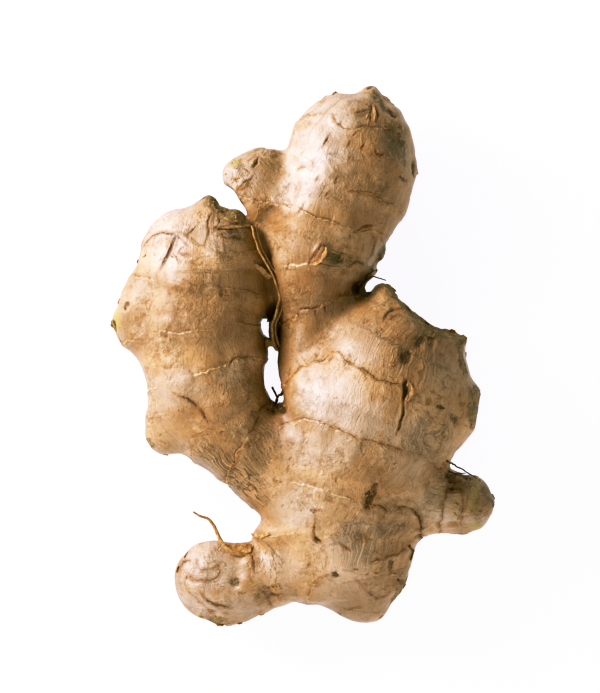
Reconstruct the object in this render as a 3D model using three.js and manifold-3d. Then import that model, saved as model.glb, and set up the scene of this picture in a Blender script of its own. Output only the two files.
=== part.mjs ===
// A fresh ginger root: one hand of rhizome with five fat fingers, lying flat on a table.
//
// The whole root grew as one piece, so it is one solid. Each finger is a chain of stations along
// its axis, and every station says how wide and how thick the flesh is there. The chains are
// blended into one smooth field, the field is turned into a mesh, and the leaf scars that ring
// every finger are raised from that mesh by a formula.
//
// Millimetres. +Z is up, +Y runs towards the tips, and the origin is under the middle of the
// root, on the surface that it lies on.

import * as THREE from "three";
import { mergeVertices } from "three/addons/utils/BufferGeometryUtils.js";
import Module from "manifold-3d";

const wasm = await Module();
wasm.setup();

// Driving sizes.
const CELL = 2.88; // spacing of the skin's vertices
const SCAR_HEIGHT = 0.5; // how far a leaf scar stands proud
const SCAR_REACH = 1.2; // vertices this near to a scar are drawn onto it
const FURROW_DEPTH = 0.15; // shallow dip on both sides of a scar
const FURROW_OFFSET = 3.2; // from the scar to the middle of the dip
const LUMP_HEIGHT = 0.45; // slow unevenness of the whole skin
const LUMP_LENGTH = 13; // from one lump to the next
const FLAT_CUT = 0.0; // height of the flats that it rests on

// A station is [x, y, z, across, deep]: a point of the axis, half of the width seen from
// above, and half of the thickness. "tip" and "heel" are how far the flesh goes on past the
// last and the first station. "blend" is the radius of the web at the heel, and "web" how far
// from the heel that radius holds.
const FINGERS = {
  body: {
    stations: [
      [13, -56, 14.5, 14, 13],
      [11, -46, 16.5, 18.5, 16],
      [12, -35, 17.7, 20.5, 18],
      [15, -23, 19.5, 23.5, 19.5],
      [19.5, -11, 19.5, 24.5, 19.8],
      [25, 0, 19, 19, 17],
      [29, 7, 18.5, 15.5, 14],
    ],
    tip: 8,
    heel: 8,
  },
  scarCorner: {
    stations: [
      [36, -2, 18, 8, 11],
      [38.6, 3.4, 18, 4.6, 9],
    ],
    tip: 4.5,
    heel: 6,
    blend: 4,
    web: 40,
  },
  rightSwelling: {
    stations: [
      [33, -15, 19, 13, 15],
      [38.5, -12.5, 18, 9.5, 11],
    ],
    tip: 8.6,
    heel: 8,
    blend: 4,
    web: 40,
  },
  middle: {
    stations: [
      [4, -16, 18, 8, 11],
      [1, -4, 18, 8, 11],
      [1.8, 6, 18, 8.9, 11],
      [3.1, 15, 18, 10.7, 12.5],
      [3, 23, 18, 12.6, 14.2],
      [5, 31, 17.5, 16.2, 15.8],
      [8.2, 40, 17.5, 16.9, 17.2],
      [12.2, 49, 17.5, 17.9, 17.6],
      [13.2, 56.5, 17.8, 16.8, 15.8],
      [14.4, 62.5, 18.2, 13.4, 12.8],
    ],
    tip: 8.5,
    heel: 6,
    blend: 7,
    web: 26,
  },
  middleCrown: {
    stations: [
      [16.5, 62, 18, 8, 8],
      [18.7, 68.8, 18, 3.8, 4.5],
    ],
    tip: 3.6,
    heel: 6,
    blend: 3,
    web: 40,
  },
  middleKnob: {
    stations: [
      [-4, 37, 19, 8, 9],
      [-9.4, 43.3, 20, 9.4, 9],
      [-12.6, 48.4, 20.5, 8.7, 8],
    ],
    tip: 8.1,
    heel: 8,
    blend: 3.5,
    web: 40,
  },
  foot: {
    stations: [
      [6, -56, 15, 11, 12],
      [-4, -57.5, 14, 8.8, 10.5],
      [-12, -59.2, 13, 9.9, 10],
      [-20.4, -61.2, 12.2, 11.6, 10.8],
      [-26, -59.6, 12.2, 9.8, 9.8],
    ],
    tip: 8.8,
    heel: 8,
    blend: 5,
    web: 30,
  },
  innerCorner: {
    stations: [
      [-1, -46, 16, 10, 12],
      [-8.6, -46.8, 15, 4.6, 8],
    ],
    tip: 3.8,
    heel: 8,
    blend: 3,
    web: 30,
  },
  lowerKnob: {
    stations: [
      [17, -54, 14, 12.5, 12.5],
      [16, -63, 12, 9.2, 9.6],
    ],
    tip: 10.3,
    heel: 8,
    blend: 5,
    web: 40,
  },
  rightKnob: {
    stations: [
      [25, -38, 17, 11, 12],
      [35, -39.2, 15.5, 8.8, 9.4],
      [43.5, -39.1, 15, 8.5, 8.4],
    ],
    tip: 7.8,
    heel: 8,
    blend: 4,
    web: 30,
  },
};

const LEFT_FINGERS = {
  left: {
    stations: [
      [5, -38, 18, 11, 13],
      [-6.5, -31.4, 18, 12.2, 13],
      [-15, -23.2, 18, 12.5, 14],
      [-22.6, -13.6, 18, 15, 15.5],
      [-26.2, -3, 17.3, 16.8, 16.6],
      [-27.2, 8, 17, 17.9, 17.2],
      [-26.8, 19, 17, 18.6, 17.2],
      [-26.9, 28, 17, 17.2, 15.8],
      [-28.6, 33.5, 17.3, 13.6, 12.8],
    ],
    tip: 8,
    heel: 8,
  },
  leftCrown: {
    stations: [
      [-26.5, 34, 18, 6, 7],
      [-26.6, 39.6, 18, 2.8, 3.4],
    ],
    tip: 3,
    heel: 6,
    blend: 3,
    web: 40,
  },
  leftShoulder: {
    stations: [
      [-22, 28, 17, 8, 11],
      [-17, 32.5, 17, 3.6, 8],
    ],
    tip: 4,
    heel: 6,
    blend: 3,
    web: 40,
  },
  leftBud: {
    stations: [
      [-37, 10.8, 17, 10.8, 10],
      [-43.2, 11, 17, 10.4, 7.8],
    ],
    tip: 8,
    heel: 6,
    blend: 3.5,
    web: 40,
  },
  lowerLeftBud: {
    stations: [
      [-27, -16.5, 17, 9, 11],
      [-36.4, -18.8, 16, 8, 7.8],
    ],
    tip: 6.8,
    heel: 6,
    blend: 4,
    web: 40,
  },
};

// The shoulder that reaches up beside the middle finger's neck.
const SHOULDER = {
  shoulder: {
    stations: [
      [20, -6, 20, 12, 16],
      [20.8, 4, 20, 9, 12.5],
      [22.5, 14.2, 18.8, 5.6, 9.4],
    ],
    tip: 6.8,
    heel: 6,
  },
};

// Splits a chain's spans into shorter ones along a smooth curve through its stations.
const SPAN_PARTS = 3;
function smoothStations(stations) {
  const parts = [];
  for (let i = 0; i < stations.length - 1; i++) {
    const [before, from, to, after] = [i - 1, i, i + 1, i + 2].map(
      (k) => stations[THREE.MathUtils.clamp(k, 0, stations.length - 1)],
    );
    for (let part = 0; part < SPAN_PARTS; part++) {
      const t = part / SPAN_PARTS;
      parts.push(
        from.map((value, k) => {
          const slopeIn = (to[k] - before[k]) / 2;
          const slopeOut = (after[k] - value) / 2;
          return (
            (2 * t ** 3 - 3 * t ** 2 + 1) * value +
            (t ** 3 - 2 * t ** 2 + t) * slopeIn +
            (3 * t ** 2 - 2 * t ** 3) * to[k] +
            (t ** 3 - t ** 2) * slopeOut
          );
        }),
      );
    }
  }
  parts.push(stations.at(-1));
  return parts;
}

// About how far a point lies outside one finger, and below zero inside it.
const FAR = 12;
function fingerField(finger) {
  const stations = smoothStations(finger.stations);
  const places = stations.map(([x, y, z]) => new THREE.Vector3(x, y, z));
  const travelled = [finger.heel];
  for (let i = 1; i < places.length; i++)
    travelled.push(travelled[i - 1] + places[i].distanceTo(places[i - 1]));
  const whole = travelled.at(-1) + finger.tip;
  const spans = stations.slice(0, -1).map((from, i) => {
    const to = stations[i + 1];
    const start = places[i];
    const along = places[i + 1].clone().sub(start);
    const axis = along.clone().normalize();
    const side = new THREE.Vector3(0, 0, 1).cross(axis).normalize();
    const up = axis.clone().cross(side);
    return {
      start,
      along,
      reach: along.length() + Math.max(...from.slice(3), ...to.slice(3)),
      lengthSquared: along.lengthSq(),
      axis,
      side,
      up,
      across: [from[3], to[3]],
      deep: [from[4], to[4]],
      flesh: [Math.min(travelled[i], from[3]), Math.min(whole - travelled[i + 1], to[3])],
    };
  });
  const offset = new THREE.Vector3();
  return (point) => {
    let nearest = FAR;
    for (const span of spans) {
      offset.subVectors(point, span.start);
      if (offset.lengthSq() > (span.reach + Math.max(nearest, 0)) ** 2) continue;
      const share = THREE.MathUtils.clamp(
        offset.dot(span.along) / span.lengthSquared,
        0,
        1,
      );
      offset.addScaledVector(span.along, -share);
      const across = THREE.MathUtils.lerp(...span.across, share);
      const deep = THREE.MathUtils.lerp(...span.deep, share);
      const lengthwise = THREE.MathUtils.lerp(...span.flesh, share);
      const a = offset.dot(span.axis) / lengthwise;
      const s = offset.dot(span.side) / across;
      const u = offset.dot(span.up) / deep;
      const near = Math.hypot(a, s, u);
      const steep = Math.hypot(a / lengthwise, s / across, u / deep);
      const distance = near < 1e-6 ? -deep : (near * (near - 1)) / steep;
      nearest = Math.min(nearest, distance);
    }
    return nearest;
  };
}

function blended(a, b, radius) {
  const overlap = Math.max(radius - Math.abs(a - b), 0) / radius;
  return Math.min(a, b) - (overlap ** 2 * radius) / 4;
}

// A slow, irregular swell of the flesh, from -1 to 1.
function lumps({ x, y, z }) {
  const turn = (2 * Math.PI) / LUMP_LENGTH;
  const first = Math.sin(x * turn + 1.7 * Math.sin(y * turn * 0.43 + 0.8));
  const second = Math.sin(y * turn * 0.83 + 1.3 * Math.sin(z * turn * 0.71));
  const third = Math.sin(z * turn * 1.21 + 1.9 * Math.sin(x * turn * 0.37 + 2.1));
  return (first + second + third) / 3;
}

const SHARP_BLEND = 0.8;
function handField(fingers) {
  const parts = Object.values(fingers).map((finger) => ({
    distance: fingerField(finger),
    root: new THREE.Vector3(...finger.stations[0]),
    blend: finger.blend,
    web: finger.web,
  }));
  return (point) => {
    let flesh = FAR;
    for (const part of parts) {
      const distance = part.distance(point);
      if (flesh === FAR || distance === FAR) {
        flesh = Math.min(flesh, distance);
        continue;
      }
      const fade = Math.exp(-((part.root.distanceTo(point) / part.web) ** 2));
      flesh = blended(flesh, distance, SHARP_BLEND + part.blend * fade);
    }
    return flesh - LUMP_HEIGHT * lumps(point);
  };
}

// Fills the grid points where the skin would touch itself: a grid square with flesh at two
// opposite corners only gets flesh at a third.
function fillPinches(values, counts, indexOf) {
  const steps = [
    [1, 0, 0],
    [0, 1, 0],
    [0, 0, 1],
  ];
  const squares = [0, 1, 2].map((k) => [steps[k], steps[(k + 1) % 3]]);
  for (let filled = true; filled; ) {
    filled = false;
    for (let k = 0; k < counts[2] - 1; k++)
      for (let j = 0; j < counts[1] - 1; j++)
        for (let i = 0; i < counts[0] - 1; i++)
          for (const [[a, b, c], [d, e, f]] of squares) {
            const around = [
              indexOf(i, j, k),
              indexOf(i + a, j + b, k + c),
              indexOf(i + a + d, j + b + e, k + c + f),
              indexOf(i + d, j + e, k + f),
            ];
            const inside = around.map((at) => values[at] < 0);
            if (inside[0] !== inside[2] || inside[1] !== inside[3]) continue;
            if (inside[0] === inside[1]) continue;
            const empty = around.filter((at) => values[at] >= 0);
            const nearer = values[empty[0]] < values[empty[1]] ? empty[0] : empty[1];
            values[nearer] = -0.01;
            filled = true;
          }
  }
}

// The closed skin where a field is zero, as one vertex for each grid cell that the skin
// crosses and one quad for each grid edge that it crosses.
function skinOf(field, low, high) {
  const counts = ["x", "y", "z"].map((k) => Math.ceil((high[k] - low[k]) / CELL) + 1);
  const [nx, ny, nz] = counts;
  const indexOf = (i, j, k) => (k * ny + j) * nx + i;
  const values = new Float32Array(nx * ny * nz);
  const nodeAt = (i, j, k) =>
    new THREE.Vector3(low.x + i * CELL, low.y + j * CELL, low.z + k * CELL);
  for (let k = 0; k < nz; k++)
    for (let j = 0; j < ny; j++)
      for (let i = 0; i < nx; i++) values[indexOf(i, j, k)] = field(nodeAt(i, j, k));
  fillPinches(values, counts, indexOf);

  const corners = [0, 1, 2, 3, 4, 5, 6, 7].map((c) => [c & 1, (c >> 1) & 1, c >> 2]);
  const edges = [];
  for (let a = 0; a < 8; a++)
    for (const bit of [1, 2, 4]) if (!(a & bit)) edges.push([a, a | bit]);

  const positions = [];
  const vertexOf = new Int32Array(values.length).fill(-1);
  for (let k = 0; k < nz - 1; k++)
    for (let j = 0; j < ny - 1; j++)
      for (let i = 0; i < nx - 1; i++) {
        const at = corners.map(([a, b, c]) => values[indexOf(i + a, j + b, k + c)]);
        const middle = new THREE.Vector3();
        let crossings = 0;
        for (const [a, b] of edges) {
          if (at[a] < 0 === at[b] < 0) continue;
          const share = at[a] / (at[a] - at[b]);
          const from = new THREE.Vector3(...corners[a]);
          middle.add(from.lerp(new THREE.Vector3(...corners[b]), share));
          crossings++;
        }
        if (!crossings) continue;
        middle.divideScalar(crossings).multiplyScalar(CELL).add(nodeAt(i, j, k));
        vertexOf[indexOf(i, j, k)] = positions.length;
        positions.push(middle);
      }

  const triangles = [];
  const addQuad = (a, b, c, d, flip) => {
    const shorter =
      positions[a].distanceToSquared(positions[c]) <
      positions[b].distanceToSquared(positions[d]);
    const pair = shorter
      ? [
          [a, b, c],
          [a, c, d],
        ]
      : [
          [a, b, d],
          [b, c, d],
        ];
    for (const [p, q, r] of pair) triangles.push(flip ? [p, r, q] : [p, q, r]);
  };
  for (let k = 1; k < nz - 1; k++)
    for (let j = 1; j < ny - 1; j++)
      for (let i = 1; i < nx - 1; i++) {
        const inside = values[indexOf(i, j, k)] < 0;
        const cell = (a, b, c) => vertexOf[indexOf(i - a, j - b, k - c)];
        if (inside !== values[indexOf(i + 1, j, k)] < 0)
          addQuad(cell(0, 1, 1), cell(0, 0, 1), cell(0, 0, 0), cell(0, 1, 0), !inside);
        if (inside !== values[indexOf(i, j + 1, k)] < 0)
          addQuad(cell(1, 0, 1), cell(1, 0, 0), cell(0, 0, 0), cell(0, 0, 1), !inside);
        if (inside !== values[indexOf(i, j, k + 1)] < 0)
          addQuad(cell(1, 1, 0), cell(0, 1, 0), cell(0, 0, 0), cell(1, 0, 0), !inside);
      }
  return { positions, triangles };
}

const SLOPE_STEP = 0.05;
function slopeOf(field, point) {
  const slope = new THREE.Vector3();
  for (const k of ["x", "y", "z"]) {
    const ahead = point.clone();
    const behind = point.clone();
    ahead[k] += SLOPE_STEP;
    behind[k] -= SLOPE_STEP;
    slope[k] = (field(ahead) - field(behind)) / (2 * SLOPE_STEP);
  }
  return slope;
}

function drawOntoSkin(field, point) {
  for (let step = 0; step < 2; step++) {
    const slope = slopeOf(field, point);
    point.addScaledVector(slope, -field(point) / Math.max(slope.lengthSq(), 0.05));
  }
}

// Evens out the vertices over the skin.
const EVENING_ROUNDS = 4;
function evenOut(field, { positions, triangles }) {
  const neighbours = positions.map(() => new Set());
  for (const [a, b, c] of triangles) {
    neighbours[a].add(b).add(c);
    neighbours[b].add(a).add(c);
    neighbours[c].add(a).add(b);
  }
  for (let round = 0; round < EVENING_ROUNDS; round++) {
    const before = positions.map((p) => p.clone());
    positions.forEach((point, i) => {
      const middle = new THREE.Vector3();
      for (const n of neighbours[i]) middle.add(before[n]);
      point.lerp(middle.divideScalar(neighbours[i].size), 0.6);
      drawOntoSkin(field, point);
    });
  }
}

// Leaf scars, seen from above: each is a line across a finger, and the scar is where a curtain
// through that line cuts the skin, so it runs on round the underside.
const SCARS = [
  // Left finger, from the tip down.
  [[-46, 30], [-38, 33], [-33, 33], [-29, 31], [-25, 28.5], [-21, 27.2], [-17, 27.5], [-11, 29]],
  [[-48, 22.5], [-42, 21], [-36, 20.5], [-30, 19.3], [-22, 18], [-16, 17.2], [-11, 16], [-7, 15.5]],
  [[-53, 2], [-47, 4.5], [-42, 7], [-38, 6.7], [-33, 6.5], [-28, 7], [-22, 8], [-16, 8.8], [-8, 9]],
  [[-43, -10], [-38, -7.5], [-34, -6], [-30, -5], [-25, -4], [-20, -2], [-17, -0.7], [-13, -1], [-8, -3]],
  [[-47, -16], [-38, -15], [-31, -13.5], [-24, -12.7], [-19, -12], [-14, -9.6], [-8, -9]],
  [[-8, -14], [-11, -17], [-13, -21], [-15, -24], [-19, -28], [-22, -32], [-24, -36]],
  [[-31, -22], [-29.5, -25], [-29, -29], [-29, -33]],
  // Middle finger, from the neck up.
  [[-10, 8], [-5, 10], [-2, 11.6], [1, 12.4], [5, 12.9], [8, 14.6], [12, 15], [17, 16]],
  [[-13, 27], [-8.5, 25.5], [-5, 24.7], [0, 24.7], [5, 24.5], [10, 24], [15, 25], [18, 23.6], [23, 23]],
  [[-9, 41], [-5, 40.4], [-1, 38.5], [3, 37.1], [6, 36.3], [9, 35], [12, 33.9], [15, 33.7], [19, 34.8], [26, 32]],
  [[-8, 49.5], [-3, 47.5], [3, 46], [9, 45.3], [15, 44], [19, 43], [21, 41], [25, 39.2], [29, 38]],
  [[-8, 54.5], [0, 53], [3, 50.8], [8, 49.8], [14, 51], [19, 53.8], [23, 52.3], [27, 51], [32, 50]],
  [[-6, 61.5], [-3, 62.5], [2, 64.2], [7, 64.5], [8.5, 63], [11, 61.2], [15, 61.5], [20, 63], [25, 62], [31, 60.5]],
  // Knob on the middle finger.
  [[-22, 44], [-18, 43.6], [-14.5, 42.6], [-11, 41.9], [-8.5, 40.8]],
  [[-22.5, 50.5], [-17, 50.6], [-13, 51.5], [-9.5, 54], [-6.5, 58]],
  // Body.
  [[-9, -7], [-4, -5.6], [-1, -3.4], [3, -1], [6, -0.3], [8, 1.1], [9.5, 1.2], [11, -1], [14, -2], [17, -3.7],
    [19.5, -5.8], [24, -6.8], [29, -6.6], [36, -8], [43, -9.3], [49, -9.5]],
  [[-5.5, -16], [-2, -17], [2, -16.9], [9, -18.7], [13, -20], [18, -21.8], [22, -23.3], [26, -25], [30, -26],
    [34, -28.4], [39, -31]],
  [[-13, -38], [-9, -35.5], [-7, -34], [-4, -32.9], [-1, -33.3], [3, -35], [7, -36.5], [12, -38], [17, -38.8],
    [20, -39.8], [23, -41], [26, -40.4], [29, -41.2], [31, -43.5], [31.5, -46], [31, -51]],
  [[-10, -48], [-4, -46.8], [1, -46.7], [4, -48], [8, -46.8], [12, -44.2], [15, -42]],
  [[1, -68], [1.5, -62.5], [3.5, -60], [7, -57.6], [10, -56.6], [13, -57], [16, -56], [19.5, -54], [23, -52.2], [30, -52]],
  [[10, -69], [15, -67], [19, -66.2], [22, -64.4], [26, -60.8], [29, -58]],
  // Foot.
  [[-6, -47.5], [-7, -52], [-7.2, -57], [-6.5, -62], [-4.5, -68]],
  [[-13.5, -46.5], [-14, -53], [-13.6, -58], [-12.5, -63], [-10.5, -71]],
  [[-29, -49], [-28.6, -56], [-28.2, -61], [-26, -65], [-22, -67.3], [-19, -74]],
  // Right knob.
  [[39.5, -28.5], [39.4, -34], [39, -38], [38, -43], [37, -49]],
  [[45, -30], [44, -35], [44.6, -38], [43.8, -42], [43.2, -49]],
].map((line) => line.map(([x, y]) => new THREE.Vector3(x, y, 0)));

// The nearest place on any scar, seen from above.
function nearestScar(point) {
  const flat = new THREE.Vector3(point.x, point.y, 0);
  const foot = new THREE.Vector3();
  const best = { distance: Infinity, foot: new THREE.Vector3() };
  for (const line of SCARS)
    for (let i = 0; i < line.length - 1; i++) {
      new THREE.Line3(line[i], line[i + 1]).closestPointToPoint(flat, true, foot);
      const distance = foot.distanceTo(flat);
      if (distance < best.distance) {
        best.distance = distance;
        best.foot.copy(foot);
      }
    }
  return best;
}

function raiseScars(field, { positions }) {
  for (const point of positions) {
    const scar = nearestScar(point);
    if (scar.distance < SCAR_REACH) {
      point.set(scar.foot.x, scar.foot.y, point.z);
      drawOntoSkin(field, point);
      point.addScaledVector(slopeOf(field, point).normalize(), SCAR_HEIGHT);
    } else {
      const dip = Math.exp(-(((scar.distance - FURROW_OFFSET) / 1.5) ** 2));
      point.addScaledVector(slopeOf(field, point).normalize(), -FURROW_DEPTH * dip);
    }
  }
}

function geometryOf({ positions, triangles }) {
  const geometry = new THREE.BufferGeometry();
  const values = new Float32Array(positions.flatMap((p) => p.toArray()));
  geometry.setAttribute("position", new THREE.BufferAttribute(values, 3));
  geometry.setIndex(triangles.flat());
  return geometry;
}

function solidOf(geometry) {
  const bare = geometry.clone();
  bare.deleteAttribute("normal");
  bare.deleteAttribute("uv");
  const merged = mergeVertices(bare, 1e-4);
  return new wasm.Manifold(
    new wasm.Mesh({
      numProp: 3,
      vertProperties: merged.attributes.position.array,
      triVerts: new Uint32Array(merged.index.array),
    }),
  );
}

function handSolid(fingers) {
  const field = handField(fingers);
  const box = new THREE.Box3();
  for (const { stations, tip, heel } of Object.values(fingers))
    for (const [x, y, z, across, deep] of stations) {
      const reach = Math.max(across, deep, tip, heel) + 2 * CELL;
      box.expandByPoint(new THREE.Vector3(x, y, z).addScalar(reach));
      box.expandByPoint(new THREE.Vector3(x, y, z).addScalar(-reach));
    }
  const skin = skinOf(field, box.min, box.max);
  evenOut(field, skin);
  raiseScars(field, skin);
  return solidOf(geometryOf(skin));
}

// The body was cut from its neighbour here, and the cut has dried into a shallow dish.
const CUT_DISH = new THREE.SphereGeometry(1, 32, 20);
CUT_DISH.scale(15.5, 8, 24);
CUT_DISH.rotateZ(THREE.MathUtils.degToRad(-33.7));
CUT_DISH.translate(36.1, 15.6, 24);

// A dried rootlet leaves the foot's top, hooks over its edge and ends in the air.
const ROOTLET_PATH = new THREE.CatmullRomCurve3([
  new THREE.Vector3(-12.5, -54, 17.5),
  new THREE.Vector3(-15, -53.2, 20.4),
  new THREE.Vector3(-18.8, -52.3, 21.4),
  new THREE.Vector3(-21.4, -50.4, 21),
  new THREE.Vector3(-23, -47.6, 20.4),
  new THREE.Vector3(-24, -45, 20.4),
  new THREE.Vector3(-25.2, -43.4, 20.8),
  new THREE.Vector3(-27.4, -42.7, 21.4),
  new THREE.Vector3(-29.6, -41.4, 22),
]);
const ROOTLET_STEPS = 14;
const ROOTLET_SIDES = 6;
const ROOTLET_BASE = 1; // radius at its root
const ROOTLET_TIP = 0.5; // radius at its end

// A tube along a path, thinner towards the path's end.
function taperedTube(path, steps, sides, base, tip) {
  const section = new THREE.Shape(
    Array.from({ length: sides }, (_, side) => {
      const angle = (2 * Math.PI * side) / sides;
      return new THREE.Vector2(Math.cos(angle), Math.sin(angle));
    }),
  );
  const tube = new THREE.ExtrudeGeometry(section, { steps, extrudePath: path });
  const middles = path.getSpacedPoints(steps);
  const places = tube.attributes.position;
  const corner = new THREE.Vector3();
  for (let i = 0; i < places.count; i++) {
    corner.fromBufferAttribute(places, i);
    const distances = middles.map((middle) => middle.distanceTo(corner));
    const step = distances.indexOf(Math.min(...distances));
    const radius = THREE.MathUtils.lerp(base, tip, step / steps);
    corner.sub(middles[step]).multiplyScalar(radius).add(middles[step]);
    places.setXYZ(i, corner.x, corner.y, corner.z);
  }
  return tube;
}
const rootlet = solidOf(
  taperedTube(ROOTLET_PATH, ROOTLET_STEPS, ROOTLET_SIDES, ROOTLET_BASE, ROOTLET_TIP),
);

// Small dormant buds on the rims: each is [x, y, z, half width, half length, half height].
const BUDS = [
  [21, 28.4, 18, 1.7, 3, 3.2],
  [27.6, -57, 14, 1.6, 1.5, 1.6],
  [5.2, 28, 33, 2.6, 3, 1.4],
].map(([x, y, z, across, along, high]) => {
  const bud = new THREE.SphereGeometry(1, 10, 7);
  bud.scale(across, along, high);
  bud.translate(x, y, z);
  return solidOf(bud);
});

const hand = handSolid(FINGERS)
  .add(handSolid(SHOULDER))
  .subtract(solidOf(CUT_DISH))
  .add(handSolid(LEFT_FINGERS))
  .add(rootlet)
  .add(BUDS.reduce((all, bud) => all.add(bud)));
const table = new THREE.BoxGeometry(300, 300, 50);
table.translate(0, 0, FLAT_CUT - 25);
const resting = hand.subtract(solidOf(table));

const mesh = resting.getMesh();
const shape = new THREE.BufferGeometry();
shape.setAttribute("position", new THREE.BufferAttribute(mesh.vertProperties, 3));
shape.setIndex(new THREE.BufferAttribute(mesh.triVerts, 1));
shape.computeVertexNormals();

const rhizome = new THREE.Mesh(
  shape,
  new THREE.MeshStandardMaterial({ color: 0xcaa67a, roughness: 0.75, metalness: 0 }),
);
rhizome.name = "rhizome";

const group = new THREE.Group();
group.add(rhizome);
export default group;
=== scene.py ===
# %% [markdown]
# # A fresh ginger root
#
# The real thing is a rhizome: a fat underground stem that forks into stubby fingers. Its skin is
# thin, dry and papery. Rings run round every finger where scale leaves once sat, and between the
# rings lie fine fibres, wrinkles, cracks, pits and stains. The solid model gives the flesh its
# shape, and this lesson gives it its skin.

# %% Load the solid model
import math

import bpy
import numpy as np
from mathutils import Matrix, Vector
from mathutils.bvhtree import BVHTree
from mathutils.kdtree import KDTree


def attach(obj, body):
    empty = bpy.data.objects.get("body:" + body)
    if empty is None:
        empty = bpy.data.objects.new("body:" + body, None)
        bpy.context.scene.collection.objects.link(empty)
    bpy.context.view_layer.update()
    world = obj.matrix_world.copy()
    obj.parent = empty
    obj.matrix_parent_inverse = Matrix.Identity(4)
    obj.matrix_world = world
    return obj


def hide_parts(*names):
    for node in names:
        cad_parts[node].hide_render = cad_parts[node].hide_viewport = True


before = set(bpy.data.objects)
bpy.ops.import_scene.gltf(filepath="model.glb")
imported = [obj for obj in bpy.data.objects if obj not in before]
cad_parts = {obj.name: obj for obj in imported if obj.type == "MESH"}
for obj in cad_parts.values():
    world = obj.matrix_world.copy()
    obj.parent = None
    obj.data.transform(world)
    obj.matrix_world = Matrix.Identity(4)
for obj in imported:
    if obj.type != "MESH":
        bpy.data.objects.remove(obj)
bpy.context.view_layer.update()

MM = 0.001

# %% [markdown]
# ## Camera
#
# The root was photographed from straight above. A long lens keeps the thick parts from bulging.
# The camera hangs over the middle of the picture, and its lens is worked out from the width of
# table that has to fill the frame, so the picture has the root at its true scale.

# %% Camera
PICTURE_PIXELS = (600, 693)
PIXEL_SIZE = 0.27 * MM
LOOK_AT = Vector((-0.81, 2.97, 17.0)) * MM
CAMERA_HEIGHT = 750 * MM
SENSOR = 36.0

camera_data = bpy.data.cameras.new("camera")
camera_data.sensor_width = SENSOR
camera_data.lens = SENSOR * CAMERA_HEIGHT / (max(PICTURE_PIXELS) * PIXEL_SIZE)
camera = bpy.data.objects.new("camera", camera_data)
camera.location = LOOK_AT + Vector((0, 0, CAMERA_HEIGHT))
bpy.context.collection.objects.link(camera)
bpy.context.scene.camera = camera
print("lens, mm:", round(camera_data.lens, 1))

# %% [markdown]
# ## Light and table
#
# The light falls from the left, a little from the top of the picture and low over the table. One
# large lamp gives soft shading with a clear direction, so wrinkles still show. A weaker lamp on
# the other side and the room's own warm light fill the shadows. The pale table glows a little: a
# white background in a photograph is brightly lit, and it throws light up at the root's flanks.

# %% Light and table
KEY_DIRECTION = Vector((-0.79, 0.42, 0.45)).normalized()
FILL_DIRECTION = Vector((0.2, -0.86, 0.45)).normalized()
LAMP_DISTANCE = 700 * MM
KEY_WATTS = 6.8
FILL_WATTS = 2.3
ROOM_COLOUR = (1.0, 0.95, 0.88, 1)
ROOM_STRENGTH = 0.28
TABLE_SIZE = 6.0
TABLE_DROP = 0.02 * MM
TABLE_GLOW = 0.8


def add_lamp(name, direction, size, watts, colour):
    lamp = bpy.data.lights.new(name, "AREA")
    lamp.shape = "DISK"
    lamp.size = size
    lamp.energy = watts
    lamp.color = colour
    obj = bpy.data.objects.new(name, lamp)
    obj.location = LOOK_AT + direction * LAMP_DISTANCE
    obj.rotation_euler = (-direction).to_track_quat("-Z", "Y").to_euler()
    bpy.context.collection.objects.link(obj)
    return obj


add_lamp("key", KEY_DIRECTION, 380 * MM, KEY_WATTS, (1.0, 0.985, 0.96))
add_lamp("fill", FILL_DIRECTION, 500 * MM, FILL_WATTS, (1.0, 0.96, 0.9))

world = bpy.data.worlds.new("room")
world.use_nodes = True
room = world.node_tree.nodes["Background"]
room.inputs["Color"].default_value = ROOM_COLOUR
room.inputs["Strength"].default_value = ROOM_STRENGTH
bpy.context.scene.world = world

# A camera deepens the shadows and lifts the bright tones, as this tone curve does.
TONE_CURVE = [(0.07, 0.04), (0.16, 0.105), (0.26, 0.21), (0.35, 0.335), (0.44, 0.48), (0.6, 0.72),
              (0.85, 0.95)]
# The blue of its shadows is deepened once more, which leaves them a warm olive brown.
BLUE_CURVE = [(0.038, 0.018), (0.061, 0.041), (0.114, 0.086), (0.171, 0.146), (0.275, 0.285),
              (0.35, 0.39), (0.51, 0.59), (0.61, 0.71), (0.85, 0.92)]
BLUE, ALL_TONES = 2, 3
view = bpy.context.scene.view_settings
view.view_transform = "Standard"
view.use_curve_mapping = True
for curve, tones in ((ALL_TONES, TONE_CURVE), (BLUE, BLUE_CURVE)):
    for tone, shown in tones:
        view.curve_mapping.curves[curve].points.new(tone, shown)
view.curve_mapping.update()

bpy.ops.mesh.primitive_plane_add(size=TABLE_SIZE, location=(0, 0, -TABLE_DROP))
table = bpy.context.active_object
table.name = "table"
table_paint = bpy.data.materials.new("pale_table")
table_paint.use_nodes = True
table_shader = table_paint.node_tree.nodes["Principled BSDF"]
table_shader.inputs["Base Color"].default_value = (0.22, 0.22, 0.215, 1)
table_shader.inputs["Roughness"].default_value = 0.9
table_shader.inputs["Emission Color"].default_value = (1.0, 0.99, 0.97, 1)
table_shader.inputs["Emission Strength"].default_value = TABLE_GLOW
table.data.materials.append(table_paint)
print("lamps, W:", KEY_WATTS, FILL_WATTS)

# %% [markdown]
# ## Small tools
#
# The skin is shaped by moving its vertices in code, as a sculptor's brush would. Three tools are
# enough. Smooth noise gives uneven swellings, `step` fades one thing into another, and the
# distance to a given line tells how near a vertex is to a scar or a crack.


# %% Noise, fades and distances
FAR = 1e9


def step(low, high, value):
    share = np.clip((value - low) / (high - low), 0, 1)
    return share * share * (3 - 2 * share)


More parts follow.
